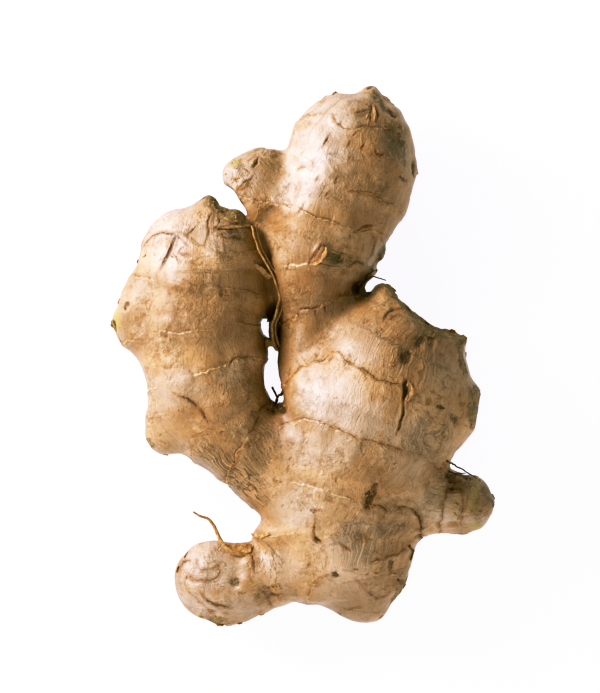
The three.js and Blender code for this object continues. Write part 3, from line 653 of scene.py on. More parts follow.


# %% [markdown]
# ## Patches
#
# Stains, pits, buds and corky places are soft-edged spots, listed by kind, and so are broad
# patches that are partly painted light and shade. Each has a middle, two half sizes, the angle
# that its long side turns to, and a strength. Noise makes their edges ragged.

# %% Patches
PATCHES = {
    # Rusty stains.
    "stain": [
        (-38.5, 30.6, 3.4, 2.6, 40, 0.55), (-35.4, 30.4, 1.8, 2.6, -25, 0.75),
        (-34.5, 16.5, 2.2, 4.6, -10, 0.35), (-21.2, 16.4, 1.1, 1.7, 0, 0.7),
        (-36, 1.2, 1.6, 2.4, -20, 0.45), (-29.4, 10.2, 1.4, 1.6, 0, 0.4),
        (-28.6, -14.2, 2.4, 2.2, -30, 0.6), (-12.5, -20, 2.2, 5.6, 24, 0.45),
        (-13.5, -4, 3.4, 3.4, 0, 0.5), (-13.2, 30, 2.6, 4.6, 20, 0.8),
        (-14.2, 22.6, 2.6, 1.4, -20, 0.8), (-6.4, 36.4, 3.6, 5.0, 24, 0.75),
        (-1.6, 32.8, 3.0, 2.6, 30, 0.5), (3.6, 26.6, 1.8, 2.2, -30, 0.8),
        (16.8, 34.2, 2.2, 1.0, 12, 0.8), (18.4, 30.2, 1.2, 3.0, -16, 0.5),
        (24.6, 49.6, 1.8, 1.3, -20, 0.9), (27.4, 46.4, 1.1, 1.4, 0, 0.8),
        (5.2, 69, 1.6, 0.8, 30, 0.9), (0.6, 61.8, 3.6, 1.6, 12, 0.4), (14, 35.6, 1.2, 1.2, 0, 0.4),
        (22.6, 43.4, 3.0, 1.2, -40, 0.3), (-16.6, 45.2, 1.4, 1.2, 40, 0.9),
        (-11, 44, 3.4, 2.6, 0, 0.4), (-8, 54.6, 1.8, 1.0, -40, 0.8), (8.4, 16.4, 4.4, 1.0, 10, 0.7),
        (40.4, 1, 3.0, 0.8, 10, 0.45), (33, -11.4, 0.8, 1.4, -20, 1.0), (28, -8, 1.6, 1.8, 0, 0.7),
        (8.4, -10.6, 0.9, 0.6, -40, 0.7), (7.4, 0.2, 1.6, 1.2, 0, 0.8),
        (0.4, -4.4, 1.2, 2.4, -20, 0.5), (-3.2, -8, 3.0, 3.0, 0, 0.5),
        (18.2, -36.2, 2.6, 4.6, -18, 0.8), (21, -41.6, 0.9, 2.0, -10, 0.6),
        (16, -47.2, 3.4, 2.4, 0, 0.6), (6.6, -44, 2.6, 3.4, 0, 0.35),
        (10.8, -50.2, 1.8, 1.0, -30, 0.7), (31, -44.6, 1.6, 2.6, 0, 0.8),
        (17, -67, 3.6, 2.4, 0, 0.35), (14, -64, 2.0, 2.0, 0, 0.3),
        (-9.8, -64.6, 3.4, 2.2, -10, 0.5), (-22.4, -62.6, 3.4, 2.0, 0, 0.4),
        (-28, -63, 2.0, 2.4, 0, 0.4), (-33.4, -57.4, 0.8, 3.0, 0, 0.6),
        (-11.6, -47.6, 2.6, 1.6, 20, 0.9), (-9, -51, 2.6, 3.0, 0, 0.35),
        (41.4, -38, 1.2, 4.6, 10, 0.8), (40.2, -45, 1.8, 1.0, 0, 1.0), (4, 20, 7, 4.5, 0, 0.5),
        (12, 28.6, 8, 3, 0, 0.4), (-18, 12, 6, 9, 0, 0.3),
    ],
    # Dark pits and dirt; the spot at (37.4, -30.6) is painted shadow on the body above the right
    # knob.
    "dark": [
        (-27.4, 42.6, 1.3, 0.8, 0, 0.8), (-22.2, 39.8, 2.0, 0.8, -40, 0.9),
        (-50.4, 16.6, 0.9, 1.6, -25, 1.0), (-47.6, 13.8, 0.8, 1.9, -28, 0.9),
        (-50.9, 8.4, 0.6, 2.4, 0, 1.0), (-21.4, 16.8, 0.6, 1.0, 0, 0.5),
        (16.9, 34.6, 1.9, 0.5, 14, 0.8), (12.2, 31.8, 1.8, 0.7, 10, 0.45),
        (12, 29.4, 1.4, 0.6, 0, 0.5), (26.4, 47.6, 1.7, 0.7, -35, 0.8),
        (30, 50.6, 0.6, 2.6, 0, 0.9), (23.4, 65.4, 2.6, 0.8, -52, 0.9),
        (17.9, 72, 1.0, 0.6, 0, 0.8), (8, 70.6, 0.9, 0.5, 0, 0.7), (-12.6, 52, 0.8, 1.6, -20, 0.8),
        (11.6, 17, 2.2, 0.8, 18, 0.6), (14.6, 18.2, 1.4, 2.6, -18, 1.0),
        (27, 0.2, 2.2, 1.6, 50, 0.75), (30.6, 4.4, 2.4, 1.6, 45, 0.8),
        (33.4, 4.6, 1.6, 2.0, 0, 0.55), (36.4, -13, 1.3, 0.7, -24, 0.9),
        (40, -16.2, 1.6, 1.7, 20, 0.8), (46, -12, 0.5, 1.6, 10, 0.7),
        (41.6, -9.4, 0.6, 1.0, 0, 0.6), (37.4, -30.6, 3.0, 1.3, -30, 0.6),
        (-6.6, -13.6, 2.6, 1.4, 0, 0.9), (40.6, -31.4, 3.0, 0.9, 20, 0.8),
        (17.6, -37, 1.7, 3.4, -22, 1.0), (18.8, -34.2, 1.0, 1.8, -10, 0.8),
        (16, -47.2, 2.2, 1.4, 20, 0.3), (3.8, -48.2, 1.3, 0.9, -40, 0.9),
        (2.6, -40.6, 1.6, 0.7, -20, 0.6), (8.6, -57.8, 1.3, 0.8, -20, 1.0),
        (23.8, -55.8, 0.9, 1.8, -12, 0.8), (25.8, -59.8, 0.5, 0.5, 0, 0.9),
        (31.8, -48.4, 1.6, 0.8, -20, 0.9), (-10.4, -62.8, 3.0, 2.0, 20, 0.5),
        (-18.4, -60, 1.4, 1.8, 0, 0.75), (40.2, -32.8, 1.4, 0.8, 20, 0.9),
        (40.2, -35.2, 1.3, 0.7, -10, 0.9), (51, -40, 0.7, 1.6, 10, 0.9),
        (43, -31.6, 3.0, 0.8, -20, 0.8), (9.4, 26, 3.0, 1.2, -16, 0.6),
    ],
    # Buds and their yellow-green surroundings.
    "green": [
        (-17.6, 37.4, 4.4, 1.4, -24, 0.4), (-50.8, 10.2, 1.8, 4.6, 0, 0.9),
        (-43.4, -20.4, 1.6, 1.8, 0, 1.0), (-18.6, 52.4, 2.0, 2.2, 30, 0.8),
        (45.4, -13.4, 1.5, 3.4, 10, 0.9), (46, -37, 2.4, 4.6, 0, 0.85),
        (46.4, -45.2, 2.8, 1.4, 10, 0.8),
    ],
    # Mossy olive places.
    "olive": [
        (8.6, 26.4, 3.4, 2.2, -8, 1.0), (12.4, 25.6, 1.8, 2.0, 0, 0.7),
        (22, 28.4, 1.5, 3.4, -14, 1.0), (25.4, 57.6, 3.2, 5.4, 14, 0.35),
        (24, 18.6, 4.0, 1.2, -20, 0.7), (31, 11.6, 6.0, 1.0, -46, 0.7),
        (42.6, 5, 2.4, 1.4, -50, 0.7), (29.2, -60, 1.2, 5.0, -24, 0.5),
        (49.4, -36.4, 1.4, 3.0, 30, 0.6),
    ],
    # Dry grey bark.
    "grey": [
        (-23.2, 40.6, 3.4, 2.4, -30, 1.0), (-17.5, 36.8, 5.0, 2.0, -24, 0.8),
        (-18, 32.2, 3.6, 2.0, -12, 0.55), (-41.8, -23.2, 2.2, 1.4, -40, 0.9),
        (24.6, 57, 4.2, 6.4, 14, 0.5), (20.4, 68.6, 4.0, 1.2, -55, 0.7),
        (24.4, 17.6, 4.0, 2.0, -36, 0.95), (30.6, 11.0, 5.6, 1.6, -46, 0.95),
        (37.4, 6.6, 6.0, 1.9, -8, 0.8), (26.4, -63, 1.8, 4.8, -30, 0.7), (46, -13, 2.4, 7, 0, 0.6),
        (-23.4, -71, 3.0, 1.0, 10, 0.8),
    ],
    # Fresh nicks and thin bark.
    "pale": [
        (22.6, 12.4, 0.6, 1.7, 20, 1.0), (42.8, -18, 1.6, 3.0, -14, 0.55),
        (28.4, -9.6, 0.7, 1.9, -24, 1.0), (41.8, -39.6, 3.4, 4.6, 0, 0.9),
        (37.4, -37, 3.0, 4.0, 0, 0.6),
    ],
    # Broad pale places: partly skin rubbed thin and pale, partly painted light and painted highlight.
    "cream": [
        (-36, 33, 9, 10, 20, 0.9), (-24, 33, 7, 6, 0, 0.7), (4, 52, 10, 12, -10, 1.0),
        (8, 64, 8, 6, 0, 0.8), (-4, 44, 5, 5, 0, 0.6), (14, 4, 9, 6, -30, 0.6),
        (7, -12, 11, 8, -10, 1.0), (16, -16, 8, 6, 0, 0.8), (6, -24, 11, 6, 0, 0.6),
        (-2, -40, 7, 6, 0, 0.7), (12, -52, 9, 8, 20, 0.6), (-26, -57, 9, 8, 0, 1.0),
        (-20, -67, 9, 4, 0, 0.7), (-33, -8, 7, 6, 0, 0.5), (-16, -3, 8, 3, 20, 0.5),
        (4, 13, 5, 2.4, 10, 0.6), (37, -40, 8, 6, 0, 1.0), (47, -43.6, 4, 2.6, 0, 0.9),
        (-28, -66, 8, 5, -30, 0.9), (12, -64, 10, 6, 0, 0.35), (27, -20, 8, 7, 0, 0.7),
        (-6, -56, 7, 6, 0, 0.6), (-10, 68, 6, 6, 0, 0.4), (30, -28, 7, 5, 0, 0.5),
        (-17, 48, 6, 6, 0, 1.0), (36, -4, 6, 5, 0, 0.4),
    ],
    # Broad brown places: partly skin that kept its brown, partly painted shade and painted shadow.
    "brown": [
        (35.6, -29, 5.0, 3.6, -40, 1.0), (2, 16, 8, 18, 0, 1.0), (13, 43, 10, 9, -20, 0.75),
        (-27, 12, 14, 9, -8, 0.6), (-46, 10, 6, 12, 0, 0.5), (14, 10, 9, 8, -30, 0.4),
        (14, -66, 14, 6, 10, 0.8), (-5, -18, 4.5, 9, 6, 0.6), (-28, -18, 12, 9, -30, 0.4),
        (26, -46, 8, 12, 0, 0.35), (24, 46, 5, 16, 10, 0.4),
    ],
    # Dark lines that run with the fibres.
    "lined": [
        (-20, -32, 12, 6.5, -42, 1.0), (-11, -24, 7, 5, 60, 0.5), (18, -48, 10, 8, 20, 0.5),
        (30, 2, 10, 9, -40, 0.8), (34, -20, 9, 6, 20, 0.5),
    ],
    # Fine cracks in all directions.
    "crackle": [
        (-23, -59, 8.5, 8.5, 0, 0.4), (17, -47, 4, 3.4, 0, 0.8), (-16, 48, 5, 4, 0, 0.7),
        (-22, 36, 7, 4.5, -20, 0.9), (20, 64, 5, 6, -40, 0.7), (46, -38, 5, 6, 0, 0.8),
        (24, -60, 5, 7, 0, 0.7), (42, -16, 5, 6, 0, 0.7),
    ],
    # Wrinkles across the finger.
    "cross": [
        (-9.6, -53.6, 4.4, 5.0, 0, 1.0), (-24, 24, 9, 6, 0, 0.4),
    ],
}
# The rim of the cut, and the egg shape that its hollow face is part of.
CUT_RIM = [(17.6, 19.4), (20, 21.6), (22.6, 21.9), (24.8, 20.4), (27, 17.6), (28.6, 14.2),
           (31.4, 11.2), (34.6, 9.6), (38.5, 8.4), (41.4, 8.2), (43.6, 6), (44.6, 2), (45, -2)]
CUT_MIDDLE = np.array([36.1, 15.6, 24])
CUT_HALF_SIZES = np.array([15.5, 8, 24])
CUT_TURN = math.radians(33.7)
print("patches:", {kind: len(spots) for kind, spots in PATCHES.items()})


def cut_face(points):
    """1 on the hollow face where the next piece was cut off, 0 elsewhere."""
    x, y, z = (points - CUT_MIDDLE).T
    turned = np.column_stack([
        x * math.cos(CUT_TURN) - y * math.sin(CUT_TURN),
        x * math.sin(CUT_TURN) + y * math.cos(CUT_TURN),
        z,
    ])
    return step(0.17, 0.07, np.abs(np.linalg.norm(turned / CUT_HALF_SIZES, axis=1) - 1))


def patch_masks(points, normals):
    facing_up = step(-0.35, 0.05, normals[:, 2])
    masks = {kind: np.zeros(len(points)) for kind in (*PATCHES, "cork")}
    wobble = 0.45 * noise(points, 2.2, 31) + 0.35 * noise(points, 0.9, 32)
    rows = [(kind, *row) for kind, spots in PATCHES.items() for row in spots]
    for kind, x, y, half_x, half_y, angle, strength in rows:
        near = np.hypot(points[:, 0] - x, points[:, 1] - y) < 1.8 * max(half_x, half_y)
        turn = math.radians(angle)
        offset = points[near, :2] - (x, y)
        across = offset[:, 0] * math.cos(turn) + offset[:, 1] * math.sin(turn)
        up = -offset[:, 0] * math.sin(turn) + offset[:, 1] * math.cos(turn)
        reach = np.hypot(across / half_x, up / half_y) + wobble[near] * 0.5
        mask = strength * step(1.3, 0.45, reach) * facing_up[near]
        masks[kind][near] = np.maximum(masks[kind][near], mask)
    rim = line_distance(points, CUT_RIM)[0] + 0.8 * wobble
    level = step(0.1, 0.5, normals[:, 2])
    masks["grey"] = np.maximum(masks["grey"], step(4.2, 1.6, rim) * level)
    masks["olive"] = np.maximum(masks["olive"], 0.3 * step(2.0, 0.4, rim) * level)
    masks["cork"] = cut_face(points) * (1 - level)
    return masks


# %% [markdown]
# ## Finer faces where they are needed
#
# Even faces are wasteful: a thin rim or a crack needs small ones, and the bare skin between them
# doesn't. The faces near scars, cracks and the corky cut are selected by their place and
# subdivided once.

# %% Subdivide near scars and cracks
FINE_REACH = 1.1


def needs_detail(points, normals):
    finger, _, _, _, _ = finger_places(points)
    distance, _, height, _, _ = scar_places(points, finger)
    edge, _ = crack_places(points)
    up = normals[:, 2] > -0.25
    masks = patch_masks(points, normals)
    rough = np.maximum.reduce([masks[kind] for kind in ("grey", "dark", "olive", "cork")]) > 0.3
    return rough | up & ((distance < FINE_REACH) & (height > 0.12) | (edge < 0.9))


points, normals = mesh_points(skin), mesh_normals(skin)
chosen = needs_detail(points, normals)
corners = read(skin.data.loops, "vertex_index")
hit = np.logical_or.reduceat(chosen[corners], read(skin.data.polygons, "loop_start"))
select_only(skin)
skin.data.vertices.foreach_set("select", np.zeros(len(points), bool))
skin.data.edges.foreach_set("select", np.zeros(len(skin.data.edges), bool))
skin.data.polygons.foreach_set("select", hit)
bpy.ops.object.mode_set(mode="EDIT")
bpy.ops.mesh.select_mode(type="FACE")
bpy.ops.mesh.subdivide(number_cuts=1, smoothness=0)
bpy.ops.object.mode_set(mode="OBJECT")
run_modifier(skin, "SMOOTH", factor=0.5, iterations=1)
print("faces after refining:", len(skin.data.polygons))

# %% [markdown]
# ## Sculpting
#
# All the relief is worked out at once as one height for each vertex, in millimetres along its
# normal, and then applied. First, rays shot out from the solid tell how hidden each place is: the
# skin is darkened there later as painted shade, where other parts of the root stand close by.

# %% How hidden each place is
points, normals, edges = mesh_points(skin), mesh_normals(skin), mesh_edges(skin)
finger, along, around, pure, apart = finger_places(points)
pure = spread(pure, edges, 4)

LOOK_FAR = 30 * MM
START_ABOVE = 0.6 * MM
rays = [
    Vector((math.sin(t) * math.cos(a), math.sin(t) * math.sin(a), math.cos(t)))
    for t in (0.35, 0.8, 1.2)
    for a in np.arange(6) * math.pi / 3 + t
]
hidden = []
for point, normal in zip(coarse_points, coarse_normals):
    turn = Vector(normal).to_track_quat("Z", "Y")
    start = Vector(point * MM) + Vector(normal) * START_ABOVE
    hits = [solid_tree.ray_cast(start, turn @ ray, LOOK_FAR)[3] for ray in rays]
    hidden.append(sum(1 - hit / LOOK_FAR for hit in hits if hit is not None) / len(rays))
tree = KDTree(len(coarse_points))
for i, point in enumerate(coarse_points):
    tree.insert(point, i)
tree.balance()
shade = np.array([hidden[tree.find(point)[1]] for point in points])
shade = spread(shade, edges, 25)
print("most hidden:", round(float(shade.max()), 2))

# %% [markdown]
# Growth and drying leave lumps and dents about a fingertip wide. They shape the outline most, so
# each was placed where the photograph's edge bulges or dips.

# %% Lumps and dents
LUMPS = [
    # Tip of the middle finger and its knob: middle, radius and rise, all in mm.
    (18.4, 72.2, 2.4, 1.1), (13.2, 71.6, 2.6, -0.7), (22.6, 70.6, 2.6, -0.6), (25.8, 66.6, 2.2, 0.6),
    (8, 71.4, 2.4, 0.7), (-21, 50, 2.4, 0.5), (-16.6, 52.5, 1.6, -0.5), (24.8, 57, 3.2, -0.5),
    # Left finger.
    (-26, 43.1, 2.2, 1.0), (-21, 41.6, 2.4, -0.7), (-17.5, 38, 2.2, 0.6), (-30.5, 41.5, 3, -0.4),
    (-50.6, 14.5, 2, -0.5), (-51.6, 9.4, 2.4, 0.5), (-43.4, -21, 2, 0.6), (-24.6, 38.6, 1.8, 0.5),
    (-22, 30, 4, 0.4), (-31, 30, 3, 0.4), (-37.4, 29, 2.6, -0.4), (-11.2, 0.6, 2.3, 1.4),
    # Body, with the rim of the cut.
    (19.6, 20.4, 2.4, 1.0), (24.6, 20.6, 2, 0.6), (30, 12.6, 2, -0.4), (40.2, 7.8, 2.4, 0.8),
    (44.4, 5.4, 2, 0.7), (44.8, 0.5, 3, -0.6), (46.6, -9, 3, 0.5), (46.8, -14, 2, -0.4),
    (45.6, -19, 2.2, 0.6), (28, 2, 3, -0.4), (33.5, -1.5, 3, 0.4), (22, 14.6, 1.6, 0.5),
    # Foot, lower end and right knob.
    (-25.5, -54, 4, 0.8), (-18.4, -60, 2.2, -0.8), (-15.6, -59.6, 1.6, 0.5), (-24, -59.8, 1.8, -0.3),
    (-23, -71.6, 2, 0.7), (-9.6, -63.6, 2.2, -0.8), (-14.5, -54, 2, 0.5), (-12, -47.6, 2, 1.0),
    (-21, -65, 3, 0.4), (15.6, -47.4, 2.2, -0.7), (19, -44, 3, 0.5), (25, -58, 3, -0.5),
    (27, -64, 2.5, 0.7), (8.8, -47, 3, 0.5),
    (48.5, -37, 2.4, -0.6), (51, -39.6, 1.6, 0.6), (44, -36.4, 2.2, 0.5), (47, -44.6, 2, 0.6),
    (41, -38.6, 1.6, -0.4),
]
print("lumps and dents:", len(LUMPS))

# %% [markdown]
# The relief is a sum: a thin rim and a ledge at each scar, fine wrinkles along the finger, broad
# soft folds, swellings of two sizes, lips beside cracks, and crumbly cork. Each has its own height
# in millimetres, so one can be made stronger without touching the others.

# %% Relief of the skin
RIM_RISE, LEDGE_STEP, WAIST_DEPTH = 0.28, 0.17, 0.32
WRINKLE, FOLD, BROAD_SWELL, SMALL_SWELL, CRINKLE = 0.14, 0.42, 0.5, 0.26, 0.11
LIP_RISE, CRACK_SHARE, CORK_CRUMBS, PIT_DEPTH = 0.2, 0.55, 0.75, 0.35

distance, tip_side, rim_height, rim_pale, rim_brown = scar_places(points, finger)
crack_edge, crack_depth = crack_places(points)
crack_edge = np.where(normals[:, 2] > -0.15, crack_edge, 99.0)
masks = patch_masks(points, normals)


def ridged(points, size, seed):
    return (1 - np.abs(layered_noise(points, size, seed))) ** 3


bent = around + 2.2 * noise(points, 13, 40)
flow = np.column_stack([bent, 0.22 * along, 0 * along])
rim = RIM_RISE * rim_height * np.exp(-((distance / 0.32) ** 2))
ledge = LEDGE_STEP * np.where(tip_side > 0, -np.exp(-distance / 1.6), np.exp(-distance / 2.2))
ledge *= np.minimum(rim_height / 0.3, 1)
waist = -WAIST_DEPTH * np.exp(-((distance / 3.0) ** 2)) * (rim_height > 0.15)
wrinkles = WRINKLE * pure * layered_noise(flow, 2.8, 41) * step(-0.5, 0.5, noise(points, 14, 42))
folds = -FOLD * (ridged(points * [1, 1.6, 1], 8.5, 43) - 0.35)
folds *= step(-0.3, 0.7, noise(points, 16, 44))
swell = BROAD_SWELL * noise(points, 10.0, 45) + SMALL_SWELL * noise(points, 4.6, 46)
crinkle = CRINKLE * layered_noise(points, 2.1, 47)
inside = step(0.15, -0.3, crack_edge)
lips = LIP_RISE * np.exp(-(((crack_edge - 0.4) / 0.35) ** 2)) * np.minimum(crack_depth, 1)
corky = np.maximum(masks["grey"], 0.6 * np.maximum(masks["olive"], masks["cork"]))
cork = CORK_CRUMBS * layered_noise(points, 1.9, 48) * corky
pits = -PIT_DEPTH * masks["dark"] + 0.25 * masks["dark"] * noise(points, 1.0, 49)
flakes = 0.14 * masks["stain"] * noise(points, 1.3, 50) + 0.15 * masks["pale"]

lumps = np.zeros(len(points))
for x, y, radius, rise in LUMPS:
    lumps += rise * np.exp(-((np.hypot(points[:, 0] - x, points[:, 1] - y) / radius) ** 2))
lumps *= step(-0.8, -0.3, normals[:, 2])

height = apart * (rim + ledge + waist) + wrinkles + folds + swell + crinkle + lumps
height += lips - CRACK_SHARE * inside * crack_depth + cork + pits + flakes
flat_below = step(1.2, 0.2, points[:, 2]) * step(-0.6, -0.95, normals[:, 2])
height *= 1 - flat_below
sculpted = points + normals * height[:, None]
sculpted[:, 2] = np.maximum(sculpted[:, 2], 0.0)
set_points(skin, sculpted)
print("relief from, to, mm:", round(float(height.min()), 2), round(float(height.max()), 2))

# %% [markdown]
# The material has to know where the scars, cracks and patches are. Those values are kept on the
# vertices as attributes, which a shader can read back by name. Here the skin is also handed over:
# it rides on the root and takes the plain solid's place.

# %% Attributes for the materials
attributes = {
    "scar": np.clip(distance, 0, 6),
    "tip_side": tip_side,
    "scar_pale": rim_pale * apart,
    "scar_brown": rim_brown * apart,
    "crack": np.clip(crack_edge, -2, 6),
    "crack_deep": crack_depth,
    "hidden": shade,
    "upward": spread(normals[:, 2], edges, 6),
    "along": along,
    "around": around,
    "pure": pure,
    **masks,
}
for name, values in attributes.items():
    layer = skin.data.attributes.new(name, "FLOAT", "POINT")
    layer.data.foreach_set("value", values.astype(np.float32))
shade_smooth(skin)
skin.name = "rhizome_skin"
skin.data.name = "rhizome_skin"
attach(skin, "root")
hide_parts("rhizome")
print("attributes:", len(attributes))

# %% [markdown]
# ## Building shaders in code
#
# A shader is a graph of small nodes. These helpers keep the graph readable: `Graph` adds a node,
# feeds it numbers or other nodes' outputs, and hands back its output.


# %% Shader helpers
class Graph:
    def __init__(self, tree):
        self.tree = tree

    def node(self, kind, **settings):
        made = self.tree.nodes.new(kind)
        for key, value in settings.items():
            setattr(made, key, value)
        return made

    def feed(self, socket, value):
        if isinstance(value, bpy.types.NodeSocket):
            self.tree.links.new(value, socket)
        elif isinstance(value, (tuple, list)) and len(value) == 3 and socket.type == "RGBA":
            socket.default_value = (*value, 1)
        else:
            socket.default_value = value

    def attribute(self, name):
        return self.node("ShaderNodeAttribute", attribute_name=name).outputs["Fac"]

    def math(self, operation, a, b=0.0, clamp=False):
        made = self.node("ShaderNodeMath", operation=operation, use_clamp=clamp)
        for socket, value in zip(made.inputs, (a, b)):
            self.feed(socket, value)
        return made.outputs[0]

    def times(self, a, b):
        return self.math("MULTIPLY", a, b)

    def plus(self, a, b):
        return self.math("ADD", a, b)

    def minus(self, a, b):
        return self.math("SUBTRACT", a, b)

    def fade(self, value, low, high, to_low=0.0, to_high=1.0):
        made = self.node("ShaderNodeMapRange", interpolation_type="SMOOTHSTEP", clamp=True)
        for name, number in (("Value", value), ("From Min", low), ("From Max", high),
                             ("To Min", to_low), ("To Max", to_high)):
            self.feed(made.inputs[name], number)
        return made.outputs["Result"]

    def mix(self, share, a, b, blend="MIX"):
        made = self.node("ShaderNodeMix", data_type="RGBA", blend_type=blend)
        self.feed(made.inputs["Factor"], share)
        self.feed(made.inputs[6], a)
        self.feed(made.inputs[7], b)
        return made.outputs[2]

    def noise(self, vector, scale, detail=2.0, roughness=0.5, distortion=0.0):
        made = self.node("ShaderNodeTexNoise")
        for name, value in (("Vector", vector), ("Scale", scale), ("Detail", detail),
                            ("Roughness", roughness), ("Distortion", distortion)):
            self.feed(made.inputs[name], value)
        return made.outputs["Fac"]

    def noise_colour(self, vector, scale):
        made = self.node("ShaderNodeTexNoise")
        self.feed(made.inputs["Vector"], vector)
        self.feed(made.inputs["Scale"], scale)
        return made.outputs["Color"]

    def scaled(self, vector, amount):
        made = self.node("ShaderNodeVectorMath", operation="SCALE")
        self.feed(made.inputs[0], vector)
        self.feed(made.inputs["Scale"], amount)
        return made.outputs[0]

    def millimetres(self):
        coordinates = self.node("ShaderNodeTexCoord").outputs["Object"]
        mapping = self.node("ShaderNodeMapping")
        mapping.inputs["Scale"].default_value = (1 / MM, 1 / MM, 1 / MM)
        self.feed(mapping.inputs["Vector"], coordinates)
        return mapping.outputs["Vector"]

    def combine(self, x, y, z):
        made = self.node("ShaderNodeCombineXYZ")
        for socket, value in zip(made.inputs, (x, y, z)):
            self.feed(socket, value)
        return made.outputs[0]


# %% [markdown]
# ## Skin material
#
# The skin's colour is built up layer by layer: a broad tan with cream and brown patches, partly
# painted light and shade, dirt in the valleys, rubbed ridges, dark and pale fibres, then painted
# shade on the flanks and in hidden places, stains and cork, and last the scars and cracks, with a
# painted highlight and shadow line at the scars and painted shade inside the cracks.
# Most of these also feed the bump, so what looks dark is also a little lower. A soft coat gives the
# dry skin its faint sheen, and dirty and corky places lose it.

# %% Skin material
TAN, LIGHT_TAN = (0.42, 0.25, 0.12), (0.5, 0.34, 0.2)
# The cream and brown tones here also carry painted light and painted shade.
PINK, CREAM_AND_PAINTED_LIGHT, BROWN_AND_PAINTED_SHADE = (0.48, 0.325, 0.205), (0.57, 0.452, 0.345), (0.3, 0.17, 0.077)
DIRT, RUBBED, FOLD_DIRT = (0.27, 0.13, 0.045), (0.66, 0.48, 0.3), (0.28, 0.135, 0.045)
DARK_FIBRE, LIGHT_FIBRE = (0.27, 0.135, 0.055), (0.68, 0.5, 0.33)
PORE, DASH = (0.22, 0.1, 0.036), (0.22, 0.1, 0.032)
# The next three colours are painted shade, for the flanks and for hidden places.
FLANK_SHADE, PAINTED_SHADE, DEEP_PAINTED_SHADE = (0.37, 0.2, 0.066), (0.27, 0.125, 0.04), (0.09, 0.036, 0.012)
FIBRE_LINE, CRACKLE, CROSS = (0.17, 0.07, 0.022), (0.24, 0.105, 0.035), (0.74, 0.58, 0.4)
DARK_WOOD, PALE_WOOD = (0.3, 0.19, 0.085), (0.56, 0.41, 0.23)
# The scar thread is partly painted highlight, and the scar line is painted shadow.
SCAR_FOOT, SCAR_THREAD_AND_HIGHLIGHT, SCAR_SHADOW_LINE = (0.32, 0.145, 0.035), (0.74, 0.55, 0.3), (0.14, 0.06, 0.02)
# The inside colour of cracks is painted shade.
CRACK_LIP, CRACK_SHADE = (0.29, 0.125, 0.04), (0.075, 0.03, 0.013)
# How each kind of patch looks, in the order that one lies over another: its colour, how full and
# how torn it is (two limits), and the most that it covers.
PATCH_LOOKS = {
    "stain": ((0.34, 0.16, 0.045), 0.15, 0.9, 0.75),
    "pale": ((0.6, 0.44, 0.27), 0.2, 0.8, 0.8),
    "green": ((0.42, 0.31, 0.09), 0.15, 0.95, 0.8),
    "grey": ((0.42, 0.325, 0.185), 0.2, 0.8, 0.75),
    "olive": ((0.125, 0.088, 0.028), 0.25, 0.85, 0.85),
    "dark": ((0.06, 0.027, 0.01), 0.3, 0.9, 0.9),
}


